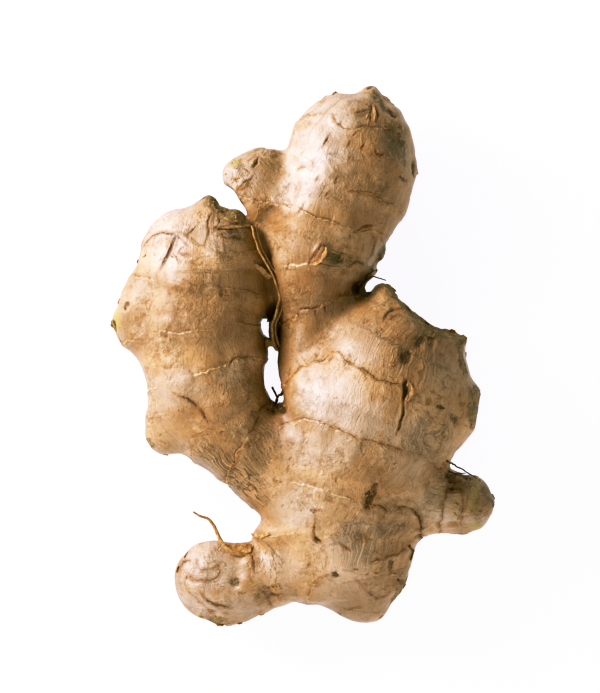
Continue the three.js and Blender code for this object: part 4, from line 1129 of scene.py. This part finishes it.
def skin_material():
    material = bpy.data.materials.new("ginger_skin")
    material.use_nodes = True
    g = Graph(material.node_tree)
    shader = material.node_tree.nodes["Principled BSDF"]
    place = g.millimetres()
    clear, along = g.attribute("pure"), g.attribute("along")
    bend = g.times(g.minus(g.noise(place, 0.09, 2), 0.5), 9.0)
    round_about = g.plus(g.attribute("around"), bend)
    fibre_place = g.combine(round_about, g.times(along, 0.17), 0.0)

    # Relief that colour and bump share, each from 0 to 1.
    rough_area = g.fade(g.noise(place, 0.1, 3, 0.6), 0.42, 0.62, 0.25, 1.0)
    grain = g.noise(place, 0.5, 6, 0.6)
    grain = g.plus(g.times(g.minus(grain, 0.5), rough_area), 0.5)
    fine = g.noise(place, 2.1, 4, 0.6)
    folds = g.math("ABSOLUTE", g.minus(g.noise(place, 0.2, 5, 0.58, 0.7), 0.5))
    folds = g.fade(folds, 0.0, 0.05)
    streak = g.noise(fibre_place, 0.95, 4, 0.62)
    fine_streak = g.noise(fibre_place, 3.4, 3, 0.6)
    pore = g.fade(g.noise(place, 1.35, 5, 0.7), 0.59, 0.69)

    # Short slanting dashes, pressed in by soil grains.
    slant = g.node("ShaderNodeMapping", vector_type="TEXTURE")
    g.feed(slant.inputs["Vector"], place)
    slant.inputs["Rotation"].default_value = (0, 0, math.radians(55))
    slant.inputs["Scale"].default_value = (2.6, 0.75, 1.0)
    dashes = g.fade(g.noise(slant.outputs["Vector"], 0.8, 3, 0.55), 0.62, 0.7)
    dashes = g.times(dashes, g.fade(g.noise(place, 0.17, 2), 0.42, 0.58))

    # Broad colour: tan and cream, with a greyer pink wandering over them.
    broad = g.fade(g.noise(place, 0.05, 3), 0.4, 0.62)
    colour = g.mix(broad, TAN, LIGHT_TAN)
    pink = g.times(g.fade(g.noise(place, 0.12, 4, 0.6), 0.48, 0.7), 0.4)
    colour = g.mix(pink, colour, PINK)
    # The cream and brown patches are partly the skin's own colour, partly painted light and painted
    # shade.
    colour = g.mix(g.times(g.attribute("cream"), 0.85), colour, CREAM_AND_PAINTED_LIGHT)
    colour = g.mix(g.times(g.attribute("brown"), 0.75), colour, BROWN_AND_PAINTED_SHADE)
    ring_tone = g.noise(g.combine(g.times(along, 0.11), 0.0, 0.0), 1.0, 1)
    ring_tone = g.times(g.fade(ring_tone, 0.4, 0.65, -0.1, 0.14), clear)
    ring_tone = g.plus(ring_tone, 1.0)
    colour = g.mix(1.0, colour, g.combine(ring_tone, ring_tone, ring_tone), "MULTIPLY")

    # Valleys hold dirt, least of all under the cream patches, and ridges are rubbed pale.
    dusty = g.fade(g.attribute("cream"), 0.0, 1.0, 1.0, 0.35)
    colour = g.mix(g.times(g.fade(grain, 0.49, 0.36, 0.0, 0.75), dusty), colour, DIRT)
    colour = g.mix(g.fade(grain, 0.51, 0.66, 0.0, 0.45), colour, RUBBED)
    colour = g.mix(g.times(g.fade(folds, 0.4, 0.0, 0.0, 0.3), rough_area), colour, FOLD_DIRT)
    dark_fibre = g.times(g.fade(streak, 0.53, 0.72), g.times(clear, 0.45))
    colour = g.mix(dark_fibre, colour, DARK_FIBRE)
    light_fibre = g.times(g.fade(fine_streak, 0.53, 0.7), g.times(clear, 0.35))
    colour = g.mix(light_fibre, colour, LIGHT_FIBRE)
    pore = g.times(pore, dusty)
    colour = g.mix(g.times(pore, 0.5), colour, PORE)
    colour = g.mix(g.times(dashes, 0.6), colour, DASH)

    # Painted shade: the flanks and the underside are darkened, the more the further they turn down.
    flank_shade = g.fade(g.attribute("upward"), 0.55, -0.2, 0.0, 0.6)
    colour = g.mix(flank_shade, colour, FLANK_SHADE)

    # Painted shade: the skin darkens where the root hides itself.
    hidden = g.attribute("hidden")
    colour = g.mix(g.fade(hidden, 0.08, 0.42, 0.0, 0.85), colour, PAINTED_SHADE)
    colour = g.mix(g.fade(hidden, 0.4, 0.72, 0.0, 0.9), colour, DEEP_PAINTED_SHADE)

    # Patches with torn edges; the dark ones are broken up by the fibres.
    ragged = g.noise(place, 1.0, 5, 0.68)

    def patch(name):
        nonlocal colour
        tint, low, high, most = PATCH_LOOKS[name]
        value = g.attribute(name)
        torn = g.plus(value, g.times(g.minus(ragged, 0.5), 1.5))
        share = g.times(value, 3.0)
        share = g.times(g.fade(torn, low, high), g.math("MINIMUM", share, most))
        if name == "dark":
            share = g.times(share, g.fade(streak, 0.36, 0.54, 0.45, 1.0))
        colour = g.mix(share, colour, tint)
        return share

    lines = g.math("ABSOLUTE", g.minus(streak, 0.5))
    lined = g.times(g.attribute("lined"), g.fade(lines, 0.04, 0.005))
    colour = g.mix(g.times(lined, 0.9), colour, FIBRE_LINE)
    cells = g.node("ShaderNodeTexVoronoi", feature="DISTANCE_TO_EDGE")
    bent_place = g.mix(1.0, place, g.scaled(g.noise_colour(place, 0.45), 3.4), "ADD")
    g.feed(cells.inputs["Vector"], bent_place)
    cells.inputs["Scale"].default_value = 0.3
    edge = g.fade(cells.outputs["Distance"], 0.08, 0.0)
    edge = g.times(edge, g.fade(g.noise(place, 0.3, 2), 0.46, 0.58))
    crackle = g.times(edge, g.attribute("crackle"))
    colour = g.mix(g.times(crackle, 0.5), colour, CRACKLE)
    cross_place = g.combine(g.times(g.attribute("around"), 0.25), along, 0.0)
    cross_wave = g.noise(cross_place, 1.0, 3, 0.6, 0.8)
    cross = g.times(g.fade(cross_wave, 0.5, 0.62), g.attribute("cross"))
    colour = g.mix(g.times(cross, 0.5), colour, CROSS)

    patch("stain")
    patch("pale")
    patch("green")
    corky = patch("grey")
    patch("olive")
    face = g.attribute("cork")
    wood = g.mix(g.fade(ragged, 0.4, 0.62), DARK_WOOD, PALE_WOOD)
    colour = g.mix(face, colour, wood)
    corky = g.math("MAXIMUM", corky, face)
    # The dark spots include one painted shadow above the right knob.
    dirty = patch("dark")

    # Scar rims: a pale thread, partly painted highlight, a warm, darker foot on the side towards the
    # tip, and a thin painted shadow line beside the thread.
    tip_side, paleness = g.attribute("tip_side"), g.attribute("scar_pale")
    shiver = g.times(g.minus(g.noise(place, 0.8, 4, 0.6), 0.5), 1.3)
    scar = g.plus(g.times(g.attribute("scar"), tip_side), shiver)
    brownness = g.times(g.attribute("scar_brown"), g.fade(g.attribute("scar"), 2.3, 1.7))
    near = g.fade(g.attribute("scar"), 1.2, 0.8)
    paleness = g.times(paleness, near)
    foot = g.times(g.fade(scar, 1.5, 0.1), g.fade(scar, -0.9, 0.1))
    broken = g.fade(g.noise(place, 0.22, 3, 0.6), 0.38, 0.56)
    foot = g.times(foot, g.times(g.times(broken, brownness), 0.75))
    colour = g.mix(foot, colour, SCAR_FOOT)
    off = g.math("ABSOLUTE", scar)
    thread = g.times(g.fade(off, 0.2, 0.04), g.times(paleness, 0.7))
    colour = g.mix(thread, colour, SCAR_THREAD_AND_HIGHLIGHT)
    # The dark line just beside the thread is painted shadow.
    under = g.math("ABSOLUTE", g.minus(scar, 0.42))
    line = g.times(g.fade(under, 0.2, 0.05), g.times(g.times(near, broken), brownness))
    colour = g.mix(g.times(line, 0.8), colour, SCAR_SHADOW_LINE)

    # Cracks: painted shade inside, darker the deeper they are, and rusty at the lips.
    crack, deep = g.attribute("crack"), g.attribute("crack_deep")
    crack = g.plus(crack, g.times(g.minus(g.noise(place, 1.6, 3), 0.5), 0.5))
    lips = g.times(g.fade(crack, 0.9, 0.1), 0.5)
    colour = g.mix(lips, colour, CRACK_LIP)
    crack_shade_depth = g.fade(deep, 0.2, 0.9, 0.7, 1.0)
    colour = g.mix(g.times(g.fade(crack, 0.1, -0.15), crack_shade_depth), colour, CRACK_SHADE)
    g.feed(shader.inputs["Base Color"], colour)

    dry = g.fade(g.noise(place, 0.5, 4, 0.6), 0.35, 0.7, 0.5, 0.62)
    dry = g.math("ADD", dry, g.times(corky, 0.3), clamp=True)
    g.feed(shader.inputs["Roughness"], dry)
    g.feed(shader.inputs["Coat Weight"], g.fade(g.plus(corky, dirty), 0.6, 0.0, 0.0, 0.85))
    shader.inputs["Coat Roughness"].default_value = 0.46

    # Bump: each kind of relief with its height in millimetres, below zero where it is pressed in.
    relief = g.times(grain, 0.9)
    for shape, rise in (
        (fine, 0.2),
        (g.times(folds, rough_area), 0.1),
        (g.times(streak, clear), 0.32),
        (g.times(fine_streak, clear), 0.17),
        (pore, -0.09),
        (dashes, -0.14),
        (paleness, g.fade(off, 0.42, 0.05, 0.0, 0.13)),
        (line, -0.14),
        (lined, -0.3),
        (crackle, -0.2),
        (cross, 0.4),
        (g.fade(crack, 0.3, -0.4, 0.0, 0.4), -1.0),
        (ragged, g.times(corky, 1.2)),
    ):
        relief = g.plus(relief, g.times(shape, rise))
    bump = g.node("ShaderNodeBump")
    bump.inputs["Strength"].default_value = 1.0
    bump.inputs["Distance"].default_value = MM
    g.feed(bump.inputs["Height"], relief)
    g.feed(shader.inputs["Normal"], bump.outputs["Normal"])
    return material


skin.data.materials.clear()
skin.data.materials.append(skin_material())
print("nodes in the skin shader:", len(skin.data.materials[0].node_tree.nodes))

# %% [markdown]
# ## Papery flaps and threads
#
# Some things stand free of the skin. Old leaf sheath hangs on as papery flaps, and thin roots have
# dried to threads. A flap is a grid stretched between the line where it is held and its free edge,
# which is torn by noise. A thread is a curve with a round section. Both are laid on the skin by
# shooting a ray down from above, so a line in plan and a height above the skin place them.


# %% Helpers for flaps and threads
skin_tree = BVHTree.FromObject(skin, bpy.context.evaluated_depsgraph_get())


def laid(line, miss=17.0):
    """Turns (x, y, height above the skin) into points in space; over a gap `miss` is used."""
    placed = []
    for x, y, lift in line:
        spot = skin_tree.ray_cast(Vector((x, y, 90)) * MM, Vector((0, 0, -1)))[0]
        top = spot.z / MM if spot is not None and spot.z > 4 * MM else miss
        placed.append((x, y, top + lift))
    return np.array(placed, float)


def along_line(line, share):
    line = np.array(line, float)
    lengths = np.concatenate([[0], np.cumsum(np.linalg.norm(np.diff(line, axis=0), axis=1))])
    return np.column_stack([np.interp(share * lengths[-1], lengths, line[:, k]) for k in range(3)])


def rounded(line, count=40):
    """The same line with its corners rounded off."""
    fine = along_line(line, np.linspace(0, 1, count))
    for _ in range(max(2, count // (2 * len(line)))):
        fine[1:-1] = 0.25 * fine[:-2] + 0.5 * fine[1:-1] + 0.25 * fine[2:]
    return fine


def add_flap(name, held, free, torn=0.4, wave=0.35, seed=0, along=36, across=8, thick=0.14):
    bpy.ops.mesh.primitive_grid_add(x_subdivisions=along, y_subdivisions=across, size=1)
    flap = bpy.context.active_object
    flap.name = name
    grid = mesh_points(flap) * MM
    u, v = grid[:, 0] + 0.5, grid[:, 1] + 0.5
    length = np.linalg.norm(np.diff(free, axis=0), axis=1).sum()
    along_mm = np.column_stack([u * length, 0 * u, 0 * u])
    reach = 1 - torn * (0.5 + 0.5 * layered_noise(along_mm, 1.5, 60 + seed))
    start, end = along_line(held, u), along_line(free, u)
    place = start + (end - start) * (v * reach)[:, None]
    sheet = np.column_stack([u * length, v * 4, 0 * u])
    place[:, 2] += wave * v * layered_noise(sheet, 2.2, 70 + seed)
    place[:, 0] += 0.5 * wave * v * noise(sheet, 1.8, 80 + seed)
    set_points(flap, place)
    run_modifier(flap, "SOLIDIFY", thickness=thick * MM, offset=0)
    shade_smooth(flap)
    return flap


def add_thread(name, line, start_radius, end_radius, kink=0.15, seed=0, count=40, sides=2):
    path = rounded(line, count)
    path += kink * np.column_stack([noise(path, 1.7, 90 + seed + k) for k in range(3)])
    curve = bpy.data.curves.new(name, "CURVE")
    curve.dimensions = "3D"
    curve.bevel_depth = MM
    curve.bevel_resolution = sides
    curve.use_fill_caps = True
    spline = curve.splines.new("POLY")
    spline.points.add(len(path) - 1)
    for i, place in enumerate(path):
        share = i / (len(path) - 1)
        spline.points[i].co = (*(place * MM), 1)
        knot = 1 + 0.07 * math.sin(i * 1.7 + seed)
        spline.points[i].radius = (start_radius + share * (end_radius - start_radius)) * knot
    thread = bpy.data.objects.new(name, curve)
    bpy.context.collection.objects.link(thread)
    select_only(thread)
    bpy.ops.object.convert(target="MESH")
    thread = bpy.context.active_object
    shade_smooth(thread)
    return thread


def joined(name, pieces):
    select_only(pieces[0])
    for piece in pieces:
        piece.select_set(True)
    bpy.ops.object.join()
    pieces[0].name = name
    pieces[0].data.name = name
    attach(pieces[0], "root")
    return pieces[0]


# %% [markdown]
# One thin root has dried where it grew, in the nook above the foot. It is a thread that tapers to
# its tip, and a small flap of skin covers the place where it comes out.

# %% The dried rootlet
rootlet = add_thread("rootlet", ROOTLET_LINE, 0.85, 0.28, kink=0.12, seed=1, count=50, sides=3)
rootlet_base = add_flap(
    "rootlet_base", [(-13.8, -50.2, 18.8), (-17.6, -49.9, 19.8), (-22, -50.2, 20.9)],
    laid([(-13.9, -52.4, 0.3), (-16.6, -53.2, 0.7), (-20.2, -52.6, 1.2)]), 0.1, 0.2, 15, 30,
)
rootlet = joined("rootlet", [rootlet, rootlet_base])
print("faces of the rootlet:", len(rootlet.data.polygons))

# %% [markdown]
# The largest flap is the sheath between the two long fingers: two thin walls hang into the gap from
# one wavy edge, and dried rolls of sheath run along that edge. The walls are drawn from one line,
# so they always meet.

# %% The sheath in the gap
flaps = []
SHEATH_LINE = [(-13.6, 35.2, 27), (-12.9, 32, 27.4), (-11.7, 28.5, 27.6), (-10.4, 26, 27.4),
               (-9.2, 24, 27), (-7.8, 21.8, 26.6), (-7, 19.3, 26.2), (-6.3, 16, 25.8), (-7, 12.1, 25),
               (-8.3, 9.1, 24.2), (-8.3, 5.6, 23.4), (-7.8, 3.6, 22.4), (-6.6, 1.8, 20.5)]
sheath_line = np.array(SHEATH_LINE, float)
NUB_LINE = [(-12.5, 2.6, 18), (-10.6, 3.4, 20), (-7.6, 4.2, 21)]
WALL = 0.1
flaps += [
    add_flap("sheath_front", sheath_line + [1.6, 0, -5.5], sheath_line, 0.05, 0.2, 1, 70, 8, WALL),
    add_flap("sheath_back", sheath_line + [0, 0, -0.3], sheath_line + [-1.0, 0, -8],
             0.25, 0.3, 20, 70, 8, WALL),
    add_thread("nub", NUB_LINE, 2.2, 0.9, 0.8, 5, 24),
    add_thread("sheath_edge", sheath_line, 0.3, 0.34, 0.2, 2, 90),
    add_thread("sheath_roll", sheath_line + [1.0, 0, -0.7], 0.2, 0.28, 0.2, 3, 90),
]
print("pieces of the sheath:", len(flaps))

# %% [markdown]
# Smaller flaps are listed in a table: where each is held, its free edge, how torn and how wavy it
# is, its noise seed, and how many faces long (and across) its grid is.

# %% Small flaps
FLAPS = [
    # Frills on the sheath.
    ("frill_upper", [(-9.4, 40, -0.3), (-11, 38.4, -0.3), (-12.2, 36.4, -0.3)],
     [(-8.6, 41.8, 1.8), (-11.8, 40.2, 2.8), (-13.2, 36.4, 1.8)], 0.5, 0.9, 2, 30),
    ("frill_lower", [(-13.4, 24.4, -0.2), (-11.4, 22.8, -0.2), (-9.4, 20.8, -0.3)],
     [(-12.2, 25.2, 1.0), (-9.6, 23.4, 1.5), (-7.8, 21.8, 1.4)], 0.5, 0.6, 3, 24),
    # Layers of scale on the crown of the left finger.
    ("crown_1", [(-22.6, 37.6, -0.3), (-19.6, 37.4, -0.2), (-16.4, 36.6, -0.3)],
     [(-21.8, 36.4, 0.3), (-19.2, 35.6, 0.8), (-15.4, 35.4, 0.3)], 0.8, 0.9, 4, 30),
    ("crown_4", [(-24, 35.0, -0.3), (-20.4, 35.0, -0.2), (-17, 35.4, -0.2), (-13.9, 35.6, -0.2)],
     [(-23.4, 34.2, 0.1), (-20, 34, 0.6), (-17, 34.5, 0.5), (-13.6, 35, 0.4)], 0.3, 0.4, 7, 34),
    # Curled edge on the small knob, and a torn lip beside the main crack.
    ("knob_curl", [(-16.2, 44, -0.2), (-15, 45, -0.2), (-14, 46.6, -0.2)],
     [(-16.8, 45, 0.3), (-16, 46, 0.8), (-15, 47, 0.7)], 0.35, 0.4, 9, 26),
    ("crack_lip", [(27.2, -6.6, -0.3), (27.6, -8.8, -0.3), (27, -11.4, -0.3)],
     [(28.2, -6.4, 0.4), (29.6, -8.6, 0.9), (28, -11.4, 0.4)], 0.3, 0.3, 10, 22),
    # Middle finger: the scale over its bud, its crown's rough edge, a sliver near the tip.
    ("bud_scale", [(2, 24.4, -0.3), (2.8, 26.4, -0.3), (4, 28.2, -0.3), (5.3, 29.6, -0.3)],
     [(3.6, 24.4, 0.2), (5.4, 25.4, 0.9), (6.6, 26.8, 1.0), (6.4, 29, 0.4)], 0.2, 0.25, 11, 26, 10),
    ("bud_tatter", [(7, 28.6, -0.2), (9.4, 27.9, -0.2), (12, 26.4, -0.2)],
     [(7.4, 27.2, 0.4), (9.8, 26.6, 0.6), (12.4, 25.4, 0.3)], 0.9, 0.8, 12, 30),
    ("tip_edge", [(20, 71, -0.3), (22.2, 69, -0.3), (24.4, 66.6, -0.3)],
     [(20.8, 71.8, 0.5), (23.4, 70, 0.6), (25.6, 67.4, 0.3)], 0.7, 0.7, 13, 30),
    ("tip_sliver", [(18.4, 67.4, 0), (18.7, 65, 0), (18.6, 62.6, 0)],
     [(18.9, 67.4, 0.2), (19.5, 65, 0.6), (18.9, 62.6, 0.2)], 0.15, 0.1, 14, 20),
    # A curled edge on the small corner above the foot.
    ("corner_curl", [(-14, -47.4, -0.2), (-11.6, -47.2, -0.2), (-9.4, -46.2, -0.2)],
     [(-13.8, -48.4, 0.5), (-11.2, -48.6, 0.9), (-8.8, -47.4, 0.6)], 0.4, 0.4, 16, 24),
]
for name, held, free, *form in FLAPS:
    flaps.append(add_flap(name, laid(held), laid(free), *form))
print("flaps so far:", len(flaps))

# %% [markdown]
# Bits of old sheath still cling to the rings and to the corky places, and small tatters stand at
# the outline. There are many, so their places are drawn by chance, with a fixed seed: the same root
# comes out every time.


# %% Scraps and tatters
SCRAP_AREAS = [
    (-22, 38.5, 6, 3.6, 26), (-16.5, 48, 4.5, 5, 16), (21.5, 66, 5, 5, 18), (45, -38, 5, 6, 24),
    (9, 26, 5, 2.6, 16), (27, 14, 6, 5, 14), (38, 7, 7, 2.4, 14), (24, -60, 5, 6, 12),
    (41, -31.5, 4, 1.6, 10), (-7, -12, 2.4, 2, 8), (16.5, 18, 2.4, 3, 10), (18, -37, 2, 3.6, 8),
    (-40, 30, 6, 4, 8), (43, -15, 3, 5, 10), (-10, -62, 4, 3, 8), (27, 2, 5, 4, 8),
]
TATTERS = [
    (8, 72.4, 2.2), (5.4, 71, 2.4), (-2.6, 63.4, 1.8), (28.8, 63, 2), (-14.4, 57.4, 2.2),
    (-7, 57.4, 2), (-20.4, 53.6, 1.8), (-35, -57, 2.4), (-32.4, -52.4, 1.8), (-22.4, -73, 2.6),
    (-27.6, -70, 2), (31.4, 50.4, 2.2), (49, -8, 2), (47.6, -17.6, 2), (45, -23, 1.8),
    (52, -37.4, 2.2), (51.4, -42, 2), (32, -49.6, 2.4), (-43, -23.6, 2.4), (-37, -26.4, 2),
    (-31, -30.6, 2), (-26.6, -35.6, 1.8), (-16.6, -43.6, 2.2), (-52, 15.6, 2.6), (-53, 9, 2.6),
    (-46.4, 26.4, 1.8), (-39, 38.4, 2), (-35, 40.4, 2.4), (21.6, 22.6, 2.4), (25.4, 20.6, 2.4),
    (29.6, 14.6, 2.2), (34.6, 11, 2), (41, 9.4, 2.4), (44.6, 7, 2.2), (45.4, 1, 2), (29, -63, 1.8),
    (21, -70, 1.6), (10.6, -68, 1.6), (-11, -69.6, 1.6), (-17, -72, 1.8), (-44.4, -14, 1.6),
    (46.6, -33, 1.8),
]


def add_scrap(number, x, y, turn, size):
    """A curled scrap of sheath lying at (x, y), its free edge turned to the angle `turn`."""
    _, normal, _, _ = skin_tree.ray_cast(Vector((x, y, 90)) * MM, Vector((0, 0, -1)))
    if normal is None or normal.z < 0.35:
        return
    across = np.array([math.cos(turn), math.sin(turn)])
    level = np.array([-across[1], across[0]])
    spot = np.array([x, y])
    held = [(*(spot + level * size * k), -0.15) for k in (-0.5, 0, 0.5)]
    free = [(*(spot + level * size * k + across * size * 0.45), 0.28) for k in (-0.4, 0, 0.4)]
    flaps.append(add_flap("scrap", laid(held), laid(free), 0.6, 0.3, 30 + number, 12, 3, 0.1))


def add_tatter(number, x, y, size):
    """A scrap that stands out from the side of the root, at the skin nearest to (x, y)."""
    spot, normal, _, _ = skin_tree.find_nearest(Vector((x, y, 15)) * MM)
    spot, normal = np.array(spot) / MM, np.array(normal)
    level = np.cross(normal, (0, 0, 1))
    level /= np.linalg.norm(level)
    held = spot - 0.3 * normal + np.outer([-0.5, 0, 0.5], level) * size
    free = spot + 0.34 * size * normal + [0, 0, 0.5] + np.outer([-0.1, 0.05, 0.2], level) * size
    flaps.append(add_flap("tatter", held, free, 0.9, 0.3, 60 + number, 14, 4, 0.14))


random = np.random.default_rng(7)
for x, y, half_x, half_y, count in SCRAP_AREAS:
    for _ in range(count):
        add_scrap(
            len(flaps), x + half_x * random.uniform(-1, 1), y + half_y * random.uniform(-1, 1),
            random.uniform(0, 2 * math.pi), random.uniform(0.6, 1.9),
        )
for _, raised, _, brownness, line in SCARS:
    for _ in range(int(1 + 6 * brownness)):
        share = random.uniform(0.15, 0.85)
        spot = along_line([(x, y, 0) for x, y in line], np.array([share, min(share + 0.02, 1)]))
        way = math.atan2(*(spot[1] - spot[0])[[1, 0]]) + math.pi / 2
        add_scrap(len(flaps), spot[0, 0], spot[0, 1], way, random.uniform(0.7, 2.0))
for x, y, size in TATTERS:
    add_tatter(len(flaps), x, y, size)
print("flaps, scraps and tatters:", len(flaps))
papery_flaps = joined("papery_flaps", flaps)

# %% [markdown]
# Where two fingers fork, thin roots and dirt have dried to short, dark threads. Each row holds a
# line, the thickness at its two ends, and how crooked it is.

# %% Dark threads in the forks
THREADS = [
    # Beside the middle finger's neck.
    ([(14.4, 17.6, 0.2), (16.2, 20.2, 0.4), (18.8, 21.9, 0.6), (22.4, 20.8, 0.6)], 0.3, 0.14, 0.2),
    ([(16.6, 20.4, 0.5), (17.6, 22.4, 1.0), (19.6, 23.4, 1.6)], 0.2, 0.12, 0.2),
    # Above the right knob.
    ([(38.6, -27.4, 0.2), (41, -29, 0.4), (43.4, -30.4, 0.8), (46.8, -32.6, 1.2)], 0.3, 0.14, 0.3),
    ([(39, -30.6, 0.2), (41.6, -31.4, 0.5), (44, -31.2, 1)], 0.2, 0.12, 0.3),
    # In the fork under the left finger.
    ([(-5.2, -9, 0.2), (-6.6, -10.6, 0.6), (-8.2, -13.4, 0.6), (-9.6, -14, 0.3)], 0.35, 0.2, 0.4),
    ([(-8.6, -8, 0.4), (-7.2, -10.8, 0.8), (-6.8, -14.2, 0.5)], 0.3, 0.18, 0.4),
    # At the lower right corner.
    ([(28.6, -50.4, 0.2), (29.6, -52.8, 0.2), (28.8, -54.6, 0.2)], 0.35, 0.25, 0.4),
]
threads = [
    add_thread("thread", laid(line), thick, thin, kink, seed)
    for seed, (line, thick, thin, kink) in enumerate(THREADS, 1)
]
print("threads:", len(threads))
root_threads = joined("root_threads", threads)

# %% [markdown]
# ## Materials of the small pieces
#
# Rootlet, sheath and threads differ in colour only. They share one node group, a mottle of two
# colours, and each hands it its own pair.


# %% Materials of the small pieces
def mottle_group():
    """A node group: two colours that mingle in spots, and the height of the spots."""
    tree = bpy.data.node_groups.new("mottle", "ShaderNodeTree")
    inputs = ("Place", "NodeSocketVector"), ("Low", "NodeSocketColor"), ("High", "NodeSocketColor")
    for name, kind in inputs:
        tree.interface.new_socket(name, in_out="INPUT", socket_type=kind)
    for name, kind in (("Color", "NodeSocketColor"), ("Height", "NodeSocketFloat")):
        tree.interface.new_socket(name, in_out="OUTPUT", socket_type=kind)
    g = Graph(tree)
    given, result = g.node("NodeGroupInput"), g.node("NodeGroupOutput")
    spots = g.noise(given.outputs["Place"], 0.7, 5, 0.65)
    mingled = g.mix(g.fade(spots, 0.36, 0.64), given.outputs["Low"], given.outputs["High"])
    g.feed(result.inputs["Color"], mingled)
    g.feed(result.inputs["Height"], g.times(spots, 0.8))
    return tree


MOTTLE = mottle_group()


def small_material(name, low, high, roughness):
    material = bpy.data.materials.new(name)
    material.use_nodes = True
    g = Graph(material.node_tree)
    shader = material.node_tree.nodes["Principled BSDF"]
    mottle = g.node("ShaderNodeGroup", node_tree=MOTTLE)
    for socket, value in (("Place", g.millimetres()), ("Low", low), ("High", high)):
        g.feed(mottle.inputs[socket], value)
    g.feed(shader.inputs["Base Color"], mottle.outputs["Color"])
    shader.inputs["Roughness"].default_value = roughness
    bump = g.node("ShaderNodeBump")
    bump.inputs["Distance"].default_value = MM
    g.feed(bump.inputs["Height"], mottle.outputs["Height"])
    g.feed(shader.inputs["Normal"], bump.outputs["Normal"])
    return material


for piece, material in (
    (rootlet, small_material("dried_rootlet", (0.42, 0.22, 0.08), (0.62, 0.4, 0.2), 0.5)),
    (papery_flaps, small_material("papery_sheath", (0.36, 0.19, 0.07), (0.6, 0.4, 0.21), 0.5)),
    (root_threads, small_material("dry_thread", (0.04, 0.018, 0.008), (0.16, 0.08, 0.03), 0.7)),
):
    piece.data.materials.clear()
    piece.data.materials.append(material)
    print(piece.name, "wears", material.name)
